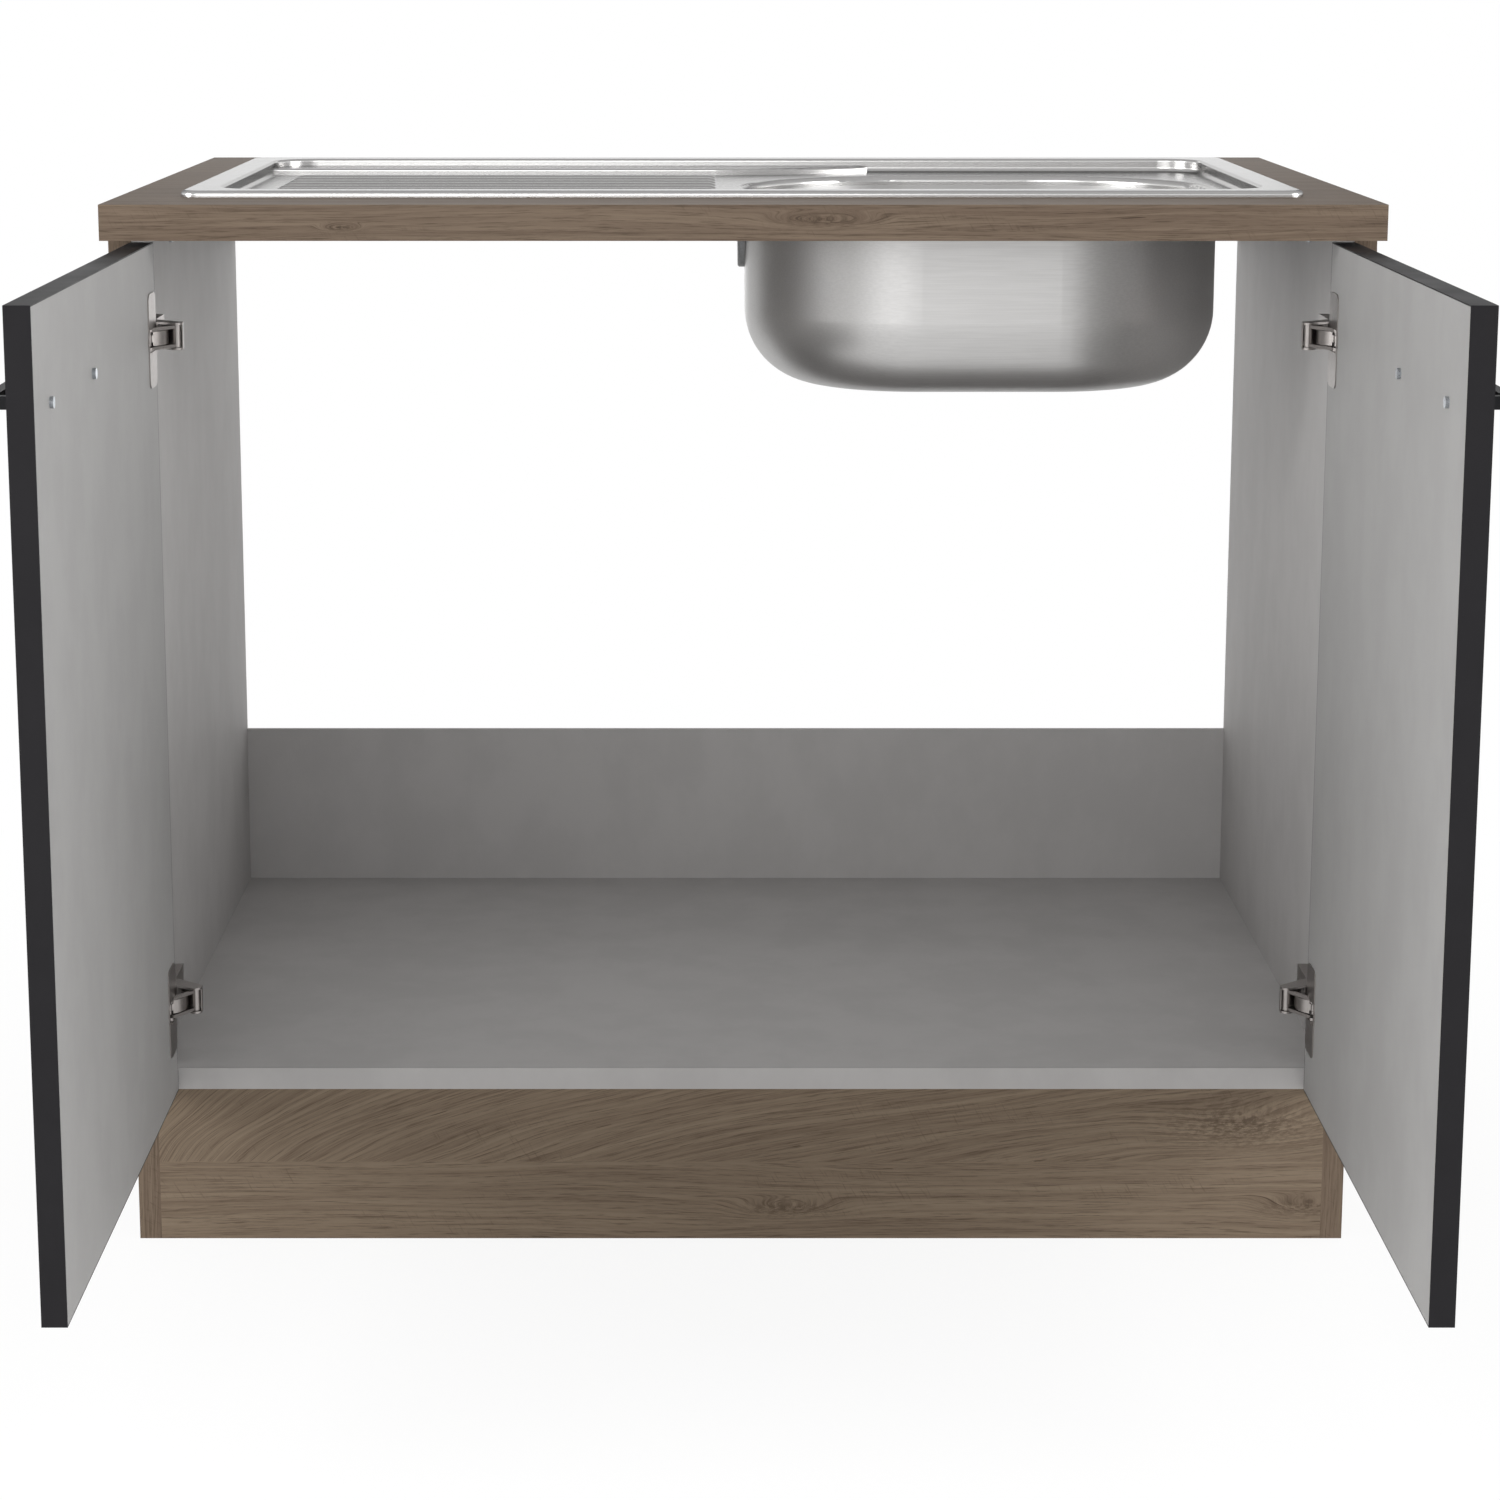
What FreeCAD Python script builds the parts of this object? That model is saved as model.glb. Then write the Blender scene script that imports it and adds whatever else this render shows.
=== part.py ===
"""Kitchen sink unit: base cabinet, inset sink and two doors on concealed hinges.

Millimetres. X runs along the front, Y to the back and Z up. Y is measured here
from the front of the carcass. The origin of the written parts is on the floor,
under the middle of the plinth. The doors stand open by a quarter turn.
"""
import FreeCAD, Part
import math
import os

Vec = FreeCAD.Vector
UP = Vec(0, 0, 1)
RIGHT = Vec(1, 0, 0)

# ---------------------------------------------------------------- carcass sizes
UNIT_W = 1000.0            # over both side panels
WORKTOP_D = 635.0          # worktop, front to back
WORKTOP_OVERHANG = 40.0    # worktop front ahead of the side panels
WORKTOP_T = 28.0
SIDE_H = 832.0
PANEL_T = 18.0
EDGING_T = 0.8             # bonded edge strips of the carcass and worktop
PLINTH_H = 130.0
STRIP_T = 4.0              # rear strip behind the shelf
STRIP_RISE = 152.0         # above the shelf
RAIL_H = 50.0              # rear rail under the worktop

# ---------------------------------------------------------------- joinery sizes
DOWEL_R = 4.0
DOWEL_L = 35.0
DOWEL_IN_SIDE = 12.0
SCREW_R = 3.5              # carcass screws
SCREW_L = 50.0
SCREW_HEAD_R = 5.0
SCREW_HEAD_T = 4.0
HOLE_CLEARANCE = 0.05      # round a pin, dowel or screw, on the radius
SHELF_FIXING_INSET = 60.0  # outer fixings of the shelf, from its front and back
SHELF_DOWEL_STEP = 64.0    # from each screw to its dowel
PLINTH_FIXING_RISE = 45.0  # plinth screw and dowel, from the plinth's edges
RAIL_FIXING_RISE = 14.0    # rail screw and dowel, from the rail's edges
NAIL_R = 0.8
NAIL_L = 22.0
NAIL_HEAD_R = 2.0
NAIL_HEAD_T = 0.7
NAIL_COUNT = 7
NAIL_MARGIN = 40.0         # first nail from the strip's end

# ---------------------------------------------------------------- worktop fixings
BRACKET_LEG = 20.0
BRACKET_W = 16.0
BRACKET_T = 2.0
BRACKET_Y = (200.0, 480.0)
BRACKET_HOLE_INSET = 6.5   # from the leg's free end
BRACKET_SCREW_R = 1.8
BRACKET_SCREW_L = 13.0
PAN_HEAD_R = 3.6
PAN_HEAD_T = 2.0

# ---------------------------------------------------------------- sink sizes
SINK_MARGIN = 50.0         # worktop beside the sink, at each end
SINK_D = 466.0
SINK_FRONT = 43.0          # rim front edge behind the carcass front
SINK_CORNER_R = 14.0
SHEET_T = 0.8
RIM_SIDE_W = 27.0
RIM_FRONT_W = 24.0
RIM_BACK_W = 28.0
RIM_RISE = 5.2             # top of the rim above the worktop
RIM_EDGE_R = 3.5           # rolled outer edge of the rim
RECESS_CORNER_R = 35.0
RECESS_EDGE_R = 2.5        # between the rim and the recess wall
FLOOR_DROP = 6.5           # recess floor below the worktop
FLOOR_R = 4.0              # where the recess wall meets its floor
LEDGE_DROP = 0.8           # rear ledge below the worktop
LEDGE_W = 51.0
LEDGE_TIP_W = 12.0
LEDGE_BEND = 25.0          # where the ledge starts to narrow, left of the bowl
LEDGE_OVERLAP = 114.0      # ledge end, past the bowl's left wall
LEDGE_EDGE_R = 2.0
CUTOUT_GAP = 5.0           # from the recess wall to the worktop's cut-out
SEAL_W = 10.0
SEAL_INSET = 3.0           # from the rim's edge

RIB_COUNT = 10
RIB_PITCH = 34.2
RIB_FRONT_GAP = 18.0       # first rib from the recess wall
RIB_END_GAP = 34.0         # left ends of the ribs from the recess wall
RIB_BOWL_GAP = 32.0        # right ends of the ribs from the bowl
RIB_ARC_R = 12.0           # section of a rib
RIB_RISE = 2.4

BOWL_W = 400.0
BOWL_D = 322.0
BOWL_END_GAP = 18.0        # from the bowl to the recess wall at its right
BOWL_FRONT_GAP = 26.0      # and in front of it
BOWL_DEPTH = 170.0         # bowl underside below the worktop
BOWL_BOTTOM_R = 62.0
BOWL_MOUTH_R = 5.0         # rolled edge between deck and bowl
BOWL_COLLAR = 3.0          # straight neck under the rolled edge, welded to the bowl
WASTE_R = 45.0
WASTE_SEAT_R = 57.0        # pressed seat round the waste hole
WASTE_SEAT_DROP = 3.0

OVERFLOW_DROP = 46.0       # overflow centre below the worktop
OVERFLOW_HOLE_R = 13.0
OVERFLOW_CAP_R = 28.0
OVERFLOW_CAP_T = 6.0
OVERFLOW_CAP_EDGE_R = 2.0
OVERFLOW_CAP_DISH = 3.0    # depth of the cap's hollow
OVERFLOW_ROSE_R = 17.0
OVERFLOW_ROSE_T = 2.0
OVERFLOW_ROSE_EDGE = 1.0   # flat of the bowl's wall past the rose
OVERFLOW_SLOT_R = 2.2
OVERFLOW_SLOT_RING_R = 8.5
OVERFLOW_SLOTS = 8
OVERFLOW_SCREW_R = 2.5
OVERFLOW_SCREW_HEAD_R = 4.5

CLAMP_W = 16.0
CLAMP_T = 1.5
CLAMP_TAB = 18.0           # tab under the sink's sheet
CLAMP_JAW = 26.0
CLAMP_DROP = 9.0           # jaw below the worktop's underside
CLAMP_SCREW_R = 2.5
CLAMP_SCREW_TAIL = 2.0     # screw end below the jaw
CLAMP_INSET = 2.5          # clamp leg inside the recess wall
CLAMP_GAP = 4.0            # end clamps from the recess's corner and from the ledge
CLAMP_REAR_X = (-320.0, -150.0, 150.0, 320.0)

# ---------------------------------------------------------------- door sizes
DOOR_T = 18.0
DOOR_TOP_GAP = 4.0         # under the worktop
DOOR_EDGING_T = 1.0
DOOR_SIDE_INSET = 2.5      # closed door's hinge edge inside the side's outer face
DOOR_MEETING_GAP = 3.0     # between the closed doors
DOOR_FACE_GAP = 3.0        # closed door's inner face ahead of the carcass
OPEN_SETBACK = 18.0        # open door's inner face inside the side's inner face
OPEN_LEAD = 3.0            # open door's hinge edge ahead of the carcass
HANDLE_BAR = 9.0
HANDLE_PITCH = 160.0
HANDLE_REACH = 28.0
HANDLE_CORNER_R = 1.0
HANDLE_EDGE = 55.5         # first handle screw from the door's free edge
HANDLE_DROP = 70.0         # handle centre below the door's top
HANDLE_SCREW_R = 2.0
HANDLE_SCREW_GRIP = 9.0    # thread inside the handle's leg
HANDLE_SCREW_HEAD_R = 4.0
HANDLE_SCREW_HEAD_T = 2.6

# ---------------------------------------------------------------- hinge sizes
HINGE_END = 75.0           # hinge centre from the door's end
CUP_R = 17.5
CUP_T = 12.5
CUP_WALL = 0.8
CUP_EDGE = 20.5            # cup centre from the door's hinge edge
CUP_POCKET_GAP = 0.1
FLANGE_T = 1.0
FLANGE_H = 74.0
FLANGE_W = 33.0
FLANGE_CORNER_R = 7.0
FLANGE_RIM = 1.0
CUP_SCREW_PITCH = 58.0
CUP_SCREW_R = 1.7
CUP_SCREW_L = 13.0
CUP_SCREW_HEAD_R = 3.4

LANE_GAP = 0.3             # between moving pieces, along the pins
LINK_HALF = 8.8            # half the height of the links
LEVER_HALF = 5.5           # half the height of the outer link's arm
LEVER_EYE_HALF = 2.8       # half the height of its eye in the cup
LUG_T = 2.6
LUG_HALF_W = 2.4
TINE_T = 2.6               # the inner link's fork
ARM_WALL = 1.7
PIN_R = 1.5                # pins in the arm
CUP_PIN_R = 1.25           # pins in the cup
PIN_BITE = 2.0             # end of a cup pin in the cup's cheek
OUTER_A = 12.0             # outer link's cup pin from the door's hinge edge
OUTER_B = 4.0              # and below the door's inner face
INNER_A = 18.0
INNER_B = 4.0
OUTER_OFFSET = 31.0        # arm pins, square off the line between the cup pins'
INNER_OFFSET = 32.0        # places with the door closed and open
LEVER_SAGITTA = 9.5
LINK_HALF_T = 1.3
ARM_EYE_R = 3.3
LEVER_CUP_EYE_R = 2.7
SLOT_R = 2.1               # slotted eye of the inner link, round the cup pin
SLOT_IN = 2.2              # its reach to either side of the link
SLOT_OUT = 0.6
SLOT_WALL = 1.2

NOSE_R = 5.0
ARM_BACK_Y = 72.0
ARM_HEIGHT = 13.0          # arm's back above the side panel, at the plate
ARM_FOOT = 4.0             # arm's cheeks above the side panel
ARM_BEND_Y = 30.0
PLATE_Y0 = 25.0
PLATE_Y1 = 66.0
PLATE_SCREW_Y = 37.0
PLATE_SCREW_PITCH = 32.0
PLATE_WING_T = 2.0
PLATE_WING_W = 15.0
PLATE_WING_END = 8.0       # wing beyond the screw's centre
PLATE_SCREW_R = 2.5
PLATE_SCREW_L = 13.0
ARM_SCREW_Y = 50.0
ADJUST_SCREW_Y = 33.0
ARM_SCREW_R = 2.5
ARM_SCREW_HEAD_R = 4.0
ARM_SCREW_HEAD_T = 1.8
ARM_SCREW_L = 7.0

# ---------------------------------------------------------------- derived places
HALF_W = UNIT_W / 2
INNER_X = HALF_W - PANEL_T
CARCASS_D = WORKTOP_D - WORKTOP_OVERHANG
TOP_Z = SIDE_H + WORKTOP_T
SHELF_Z = PLINTH_H + PANEL_T
STRIP_Y = CARCASS_D - STRIP_T
RAIL_Y = CARCASS_D - PANEL_T
SINK_W = UNIT_W - 2 * SINK_MARGIN
SINK_BACK = SINK_FRONT + SINK_D
RECESS_X = SINK_W / 2 - RIM_SIDE_W
RECESS_Y0 = SINK_FRONT + RIM_FRONT_W
RECESS_Y1 = SINK_BACK - RIM_BACK_W
FLOOR_Z = TOP_Z - FLOOR_DROP
LEDGE_Z = TOP_Z - LEDGE_DROP
RIM_Z = TOP_Z + RIM_RISE
COLLAR_Z = FLOOR_Z - BOWL_MOUTH_R - BOWL_COLLAR
BOWL_BOTTOM_Z = TOP_Z - BOWL_DEPTH
BOWL_X0 = RECESS_X - BOWL_END_GAP - BOWL_W
BOWL_Y0 = RECESS_Y0 + BOWL_FRONT_GAP
BOWL_CX = BOWL_X0 + BOWL_W / 2
BOWL_CY = BOWL_Y0 + BOWL_D / 2
BOWL_CORNER_R = BOWL_D / 2 - OVERFLOW_ROSE_R - OVERFLOW_ROSE_EDGE
OVERFLOW_Z = TOP_Z - OVERFLOW_DROP
LEDGE_BEND_X = BOWL_X0 - LEDGE_BEND
LEDGE_END_X = BOWL_X0 + LEDGE_OVERLAP
RIB_X0 = -RECESS_X + RIB_END_GAP
RIB_X1 = BOWL_X0 - RIB_BOWL_GAP
RIB_FIRST_Y = RECESS_Y0 + RIB_FRONT_GAP
CLAMP_FRONT_Y = RECESS_Y0 + RECESS_CORNER_R + CLAMP_GAP + CLAMP_W / 2
CLAMP_BACK_Y = RECESS_Y1 - LEDGE_W - CLAMP_GAP - CLAMP_W / 2
DOOR_Z0 = PLINTH_H
DOOR_Z1 = SIDE_H - DOOR_TOP_GAP
DOOR_W = HALF_W - DOOR_SIDE_INSET - DOOR_MEETING_GAP / 2
DOOR_IN_X = INNER_X - OPEN_SETBACK
DOOR_OUT_X = DOOR_IN_X + DOOR_T
DOOR_EDGE_Y = -OPEN_LEAD
DOOR_FREE_Y = DOOR_EDGE_Y - DOOR_W
CUP_Y = DOOR_EDGE_Y - CUP_EDGE
CUP_HALF = LINK_HALF + LANE_GAP
ARM_HALF = CUP_HALF + ARM_WALL
HINGE_Z = (DOOR_Z0 + HINGE_END, DOOR_Z1 - HINGE_END)
HANDLE_Z = DOOR_Z1 - HANDLE_DROP
HANDLE_Y = (DOOR_FREE_Y + HANDLE_EDGE, DOOR_FREE_Y + HANDLE_EDGE + HANDLE_PITCH)
TO_ORIGIN = Vec(0, -PANEL_T / 2, 0)

OVERCUT = 1.0              # hollows run past the surface they open through
SAME_PLACE = 1e-4          # places closer than this are one


# ---------------------------------------------------------------- shape helpers
def box(x0, x1, y0, y1, z0, z1):
    """Box between two limits along each axis."""
    return Part.makeBox(x1 - x0, y1 - y0, z1 - z0, Vec(x0, y0, z0))


def rod(radius, start, end):
    """Round bar between two points."""
    return Part.makeCylinder(radius, (end - start).Length, start, end - start)


def cone(radius_a, radius_b, start, end):
    """Tapered bar between two points."""
    return Part.makeCone(radius_a, radius_b, (end - start).Length, start, end - start)


def union(shapes):
    """One solid from touching shapes, without the seams between flat faces."""
    joined = shapes[0].fuse(shapes[1:]) if len(shapes) > 1 else shapes[0]
    return joined.removeSplitter()


def vertical_edges(shape):
    """Edges that run straight up."""
    edges = []
    for edge in shape.Edges:
        low, high = edge.Vertexes[0].Point, edge.Vertexes[-1].Point
        if abs(low.x - high.x) < SAME_PLACE and abs(low.y - high.y) < SAME_PLACE:
            edges.append(edge)
    return edges


def edges_at(shape, z):
    """Edges that lie at one height."""
    flat = []
    for edge in shape.Edges:
        bounds = edge.BoundBox
        if abs(bounds.ZMin - z) < SAME_PLACE and abs(bounds.ZMax - z) < SAME_PLACE:
            flat.append(edge)
    return flat


def rounded_box(x0, x1, y0, y1, z0, z1, radius):
    """Box with its four upright edges rounded."""
    block = box(x0, x1, y0, y1, z0, z1)
    return block.makeFillet(radius, vertical_edges(block))


def extruded(outline, z0, z1):
    """Solid from a closed plan outline."""
    face = Part.Face(Part.Wire(outline))
    face.translate(Vec(0, 0, z0))
    return face.extrude(Vec(0, 0, z1 - z0))


def polygon(points):
    """Straight edges round a list of plan points."""
    corners = [Vec(x, y, 0) for x, y in points]
    ring = corners[1:] + corners[:1]
    return [Part.LineSegment(a, b).toShape() for a, b in zip(corners, ring)]


def mirrored(shape):
    """The same piece on the other side of the unit."""
    return shape.mirror(Vec(0, 0, 0), RIGHT)


def both_sides(shapes):
    """Pieces of the right side with their mirror images."""
    return shapes + [mirrored(shape) for shape in shapes]


def write(name, shapes):
    """Write one node; a list holds separate solids."""
    parts = shapes if isinstance(shapes, list) else [shapes]
    solid = Part.Compound(parts) if len(parts) > 1 else parts[0]
    if len(parts) == 1 and len(solid.Solids) == 1:
        solid = solid.Solids[0]
    solid.translate(TO_ORIGIN)
    solid.exportStep("parts/" + name + ".step")


# ---------------------------------------------------------------- joinery
def carcass_fixings():
    """Plan of the carcass joints: (y, z) of the screws and of the dowels."""
    shelf_z = PLINTH_H + PANEL_T / 2
    plinth_y = PANEL_T / 2
    rail_y = RAIL_Y + PANEL_T / 2
    front_y = SHELF_FIXING_INSET
    back_y = STRIP_Y - SHELF_FIXING_INSET
    screws = [
        (front_y, shelf_z),
        (back_y, shelf_z),
        (plinth_y, PLINTH_FIXING_RISE),
        (rail_y, SIDE_H - RAIL_FIXING_RISE),
    ]
    dowels = [
        (front_y + SHELF_DOWEL_STEP, shelf_z),
        (back_y - SHELF_DOWEL_STEP, shelf_z),
        (plinth_y, PLINTH_H - PLINTH_FIXING_RISE),
        (rail_y, SIDE_H - RAIL_H + RAIL_FIXING_RISE),
    ]
    return screws, dowels


def carcass_screw(y, z, clearance=0.0):
    """Screw through the right side panel, its head flush outside."""
    face = Vec(HALF_W, y, z)
    neck = Vec(HALF_W - SCREW_HEAD_T, y, z)
    tip = Vec(HALF_W - SCREW_L - clearance, y, z)
    head = rod(SCREW_HEAD_R + clearance, neck, face)
    return union([head, rod(SCREW_R + clearance, tip, neck)])


def carcass_dowel(y, z, clearance=0.0):
    """Dowel between the right side panel and what stands against it."""
    outer = INNER_X + DOWEL_IN_SIDE
    start = Vec(outer - DOWEL_L - clearance, y, z)
    return rod(DOWEL_R + clearance, start, Vec(outer + clearance, y, z))


def fixing_holes():
    """Holes for every carcass screw and dowel, both sides."""
    screws, dowels = carcass_fixings()
    holes = [carcass_screw(y, z, HOLE_CLEARANCE) for y, z in screws]
    holes += [carcass_dowel(y, z, HOLE_CLEARANCE) for y, z in dowels]
    return both_sides(holes)


def strip_nail(x, clearance=0.0):
    """Nail through the rear strip into the shelf's back edge."""
    z = PLINTH_H + PANEL_T / 2
    head = Vec(x, CARCASS_D - NAIL_HEAD_T, z)
    tip = Vec(x, CARCASS_D - NAIL_L - clearance, z)
    cap = rod(NAIL_HEAD_R + clearance, head, Vec(x, CARCASS_D, z))
    return union([cap, rod(NAIL_R + clearance, tip, head)])


def strip_nails(clearance=0.0):
    """The row of nails along the rear strip."""
    span = 2 * (INNER_X - NAIL_MARGIN)
    step = span / (NAIL_COUNT - 1)
    first = NAIL_MARGIN - INNER_X
    return [strip_nail(first + i * step, clearance) for i in range(NAIL_COUNT)]


def make_carcass():
    """Side panels, shelf, plinth, rear strip and rail, with their fixings."""
    holes = fixing_holes()
    side = box(INNER_X, HALF_W, EDGING_T, CARCASS_D, 0, SIDE_H)
    side = side.cut(holes + hinge_plate_holes() + bracket_holes())
    write("right_side_panel", side)
    write("left_side_panel", mirrored(side))
    side_edging = box(INNER_X, HALF_W, 0, EDGING_T, 0, SIDE_H)
    write("right_side_edging", side_edging)
    write("left_side_edging", mirrored(side_edging))

    shelf = box(-INNER_X, INNER_X, EDGING_T, STRIP_Y, PLINTH_H, SHELF_Z)
    write("bottom_shelf", shelf.cut(holes + strip_nails(HOLE_CLEARANCE)))
    write("shelf_edging", box(-INNER_X, INNER_X, 0, EDGING_T, PLINTH_H, SHELF_Z))
    plinth = box(-INNER_X, INNER_X, 0, PANEL_T, 0, PLINTH_H)
    write("plinth", plinth.cut(holes))
    strip = box(-INNER_X, INNER_X, STRIP_Y, CARCASS_D, PLINTH_H, SHELF_Z + STRIP_RISE)
    write("rear_strip", strip.cut(strip_nails(HOLE_CLEARANCE)))
    rail = box(-INNER_X, INNER_X, RAIL_Y, CARCASS_D, SIDE_H - RAIL_H, SIDE_H)
    write("rear_rail", rail.cut(holes))

    screws, dowels = carcass_fixings()
    write("carcass_screws", both_sides([carcass_screw(y, z) for y, z in screws]))
    write("carcass_dowels", both_sides([carcass_dowel(y, z) for y, z in dowels]))
    write("strip_nails", strip_nails())


# ---------------------------------------------------------------- worktop
def bracket_screws(y, clearance=0.0):
    """The two screws of one right-hand worktop bracket."""
    reach = BRACKET_LEG - BRACKET_HOLE_INSET
    low = Vec(INNER_X, y, SIDE_H - reach)
    high = Vec(INNER_X - reach, y, SIDE_H)
    screws = []
    for seat, inward in ((low, RIGHT), (high, UP)):
        head = seat - inward * BRACKET_T
        shank = rod(BRACKET_SCREW_R + clearance, head, seat + inward * (BRACKET_SCREW_L + clearance))
        cap = rod(PAN_HEAD_R + clearance, head - inward * PAN_HEAD_T, head)
        screws.append(union([shank, cap]))
    return screws


def bracket_holes():
    """Screw holes of the right-hand brackets."""
    holes = []
    for y in BRACKET_Y:
        holes += bracket_screws(y, HOLE_CLEARANCE)
    return holes


def make_brackets():
    """Steel angles that hold the worktop to the side panels."""
    brackets = []
    screws = []
    holes = bracket_holes()
    for y in BRACKET_Y:
        y0 = y - BRACKET_W / 2
        y1 = y + BRACKET_W / 2
        upright = box(INNER_X - BRACKET_T, INNER_X, y0, y1, SIDE_H - BRACKET_LEG, SIDE_H)
        flat = box(INNER_X - BRACKET_LEG, INNER_X, y0, y1, SIDE_H - BRACKET_T, SIDE_H)
        brackets.append(union([upright, flat]).cut(holes))
        screws += bracket_screws(y)
    write("worktop_brackets", both_sides(brackets))
    write("bracket_screws", both_sides(screws))


def make_worktop():
    """Laminated slab with the sink cut-out, and its edging."""
    front = -WORKTOP_OVERHANG
    slab = box(-HALF_W + EDGING_T, HALF_W - EDGING_T, front + EDGING_T, CARCASS_D, SIDE_H, TOP_Z)
    gap = SHEET_T + CUTOUT_GAP
    opening = rounded_box(-RECESS_X - gap, RECESS_X + gap, RECESS_Y0 - gap, RECESS_Y1 + gap,
                          SIDE_H - OVERCUT, TOP_Z + OVERCUT, RECESS_CORNER_R + gap)
    write("worktop", slab.cut([opening] + both_sides(bracket_holes())))
    full = box(-HALF_W, HALF_W, front, CARCASS_D, SIDE_H, TOP_Z)
    inside = box(-HALF_W + EDGING_T, HALF_W - EDGING_T, front + EDGING_T, CARCASS_D + OVERCUT,
                 SIDE_H - OVERCUT, TOP_Z + OVERCUT)
    write("worktop_edging", full.cut(inside))


# ---------------------------------------------------------------- sink
def recess_plan(grow, z0, z1):
    """Upright rounded prism over the sink's recess, grown all round."""
    return rounded_box(-RECESS_X - grow, RECESS_X + grow, RECESS_Y0 - grow, RECESS_Y1 + grow,
                       z0, z1, RECESS_CORNER_R + grow)


def recess_form(inset):
    """Space inside the sink's recess, grown by inset into the sheet."""
    pan = recess_plan(inset, FLOOR_Z - inset, RIM_Z + OVERCUT)
    return pan.makeFillet(FLOOR_R + inset, edges_at(pan, FLOOR_Z - inset))


def ledge_form(inset):
    """Raised ledge along the back of the drainer, as solid under the sheet."""
    beyond = RIM_BACK_W / 2
    left = -RECESS_X - beyond
    back = RECESS_Y1 + beyond
    front = RECESS_Y1 - LEDGE_W + inset
    end = LEDGE_END_X - inset
    run = end - LEDGE_BEND_X
    drop = LEDGE_W - LEDGE_TIP_W
    radius = (run ** 2 + drop ** 2) / (2 * drop)
    half_turn = math.asin(run / radius) / 2
    middle = Vec(LEDGE_BEND_X + radius * math.sin(half_turn), front + radius * (1 - math.cos(half_turn)), 0)
    bend = Vec(LEDGE_BEND_X, front, 0)
    tip = Vec(end, front + drop, 0)
    corners = [tip, Vec(end, back, 0), Vec(left, back, 0), Vec(left, front, 0), bend]
    outline = [Part.LineSegment(a, b).toShape() for a, b in zip(corners, corners[1:])]
    outline.append(Part.Arc(bend, middle, tip).toShape())
    top = LEDGE_Z - inset
    block = extruded(outline, FLOOR_Z - FLOOR_DROP, top)
    rounded = [edge for edge in edges_at(block, top) if edge.BoundBox.YMin < RECESS_Y1]
    rounded = [edge for edge in rounded if edge.BoundBox.XMax > -RECESS_X]
    return block.makeFillet(LEDGE_EDGE_R - inset, rounded)


def rib_form(index, inset):
    """One raised rib of the drainer, as solid under the sheet."""
    y = RIB_FIRST_Y + index * RIB_PITCH
    z = FLOOR_Z + RIB_RISE - RIB_ARC_R
    radius = RIB_ARC_R - inset
    left = Vec(RIB_X0, y, z)
    right = Vec(RIB_X1, y, z)
    bar = rod(radius, left, right)
    ends = [Part.makeSphere(radius, point) for point in (left, right)]
    return union([bar] + ends)


def bowl_mouth(grow, z0, z1):
    """Upright rounded prism of the bowl's opening, grown all round."""
    return rounded_box(BOWL_X0 - grow, BOWL_X0 + BOWL_W + grow, BOWL_Y0 - grow, BOWL_Y0 + BOWL_D + grow,
                       z0, z1, BOWL_CORNER_R + grow)


def edges_over(shape, form, z):
    """Edges at one height that lie over a form's plan, its border included."""
    bounds = form.BoundBox
    bounds.enlarge(OVERCUT)
    return [edge for edge in edges_at(shape, z) if bounds.isInside(edge.BoundBox)]


def deck_form(inset):
    """Everything under the sink's upper sheet, its top surface lowered by inset."""
    block = rounded_box(-SINK_W / 2 + inset, SINK_W / 2 - inset, SINK_FRONT + inset, SINK_BACK - inset,
                        COLLAR_Z, RIM_Z - inset, SINK_CORNER_R - inset)
    block = block.makeFillet(RIM_EDGE_R - inset, edges_at(block, RIM_Z - inset))
    recess = recess_form(inset)
    block = block.cut(recess.cut(ledge_form(inset)))
    block = block.makeFillet(RECESS_EDGE_R - inset, edges_over(block, recess, RIM_Z - inset))
    mouth = bowl_mouth(inset, COLLAR_Z - OVERCUT, FLOOR_Z + OVERCUT)
    block = block.cut(mouth)
    block = block.makeFillet(BOWL_MOUTH_R - inset, edges_over(block, mouth, FLOOR_Z - inset))
    return block.fuse([rib_form(i, inset) for i in range(RIB_COUNT)])


def sink_wide(z0, z1):
    """Slab wider than the whole sink."""
    return box(-SINK_W, SINK_W, -SINK_D, 2 * SINK_D, z0, z1)


def make_sink_deck():
    """Pressed rim, recess, ribbed drainer and the rolled mouth of the bowl."""
    sheet = deck_form(0.0).cut(deck_form(SHEET_T))
    under_ribs = COLLAR_Z - RIB_ARC_R
    pan = recess_plan(SHEET_T, under_ribs - OVERCUT, TOP_Z + OVERCUT)
    neck = bowl_mouth(BOWL_MOUTH_R + SHEET_T, COLLAR_Z, TOP_Z)
    sheet = sheet.cut(sink_wide(under_ribs, TOP_Z).cut(pan))
    sheet = sheet.cut(sink_wide(under_ribs - RIB_ARC_R, FLOOR_Z - SHEET_T).cut(neck))
    write("sink_deck", max(sheet.Solids, key=lambda solid: solid.Volume))


def bowl_form(grow):
    """Inside of the bowl, grown by the sheet for its outside."""
    z0 = BOWL_BOTTOM_Z + SHEET_T - grow
    form = bowl_mouth(grow, z0, COLLAR_Z + OVERCUT)
    return form.makeFillet(BOWL_BOTTOM_R + grow, edges_at(form, z0))


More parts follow.
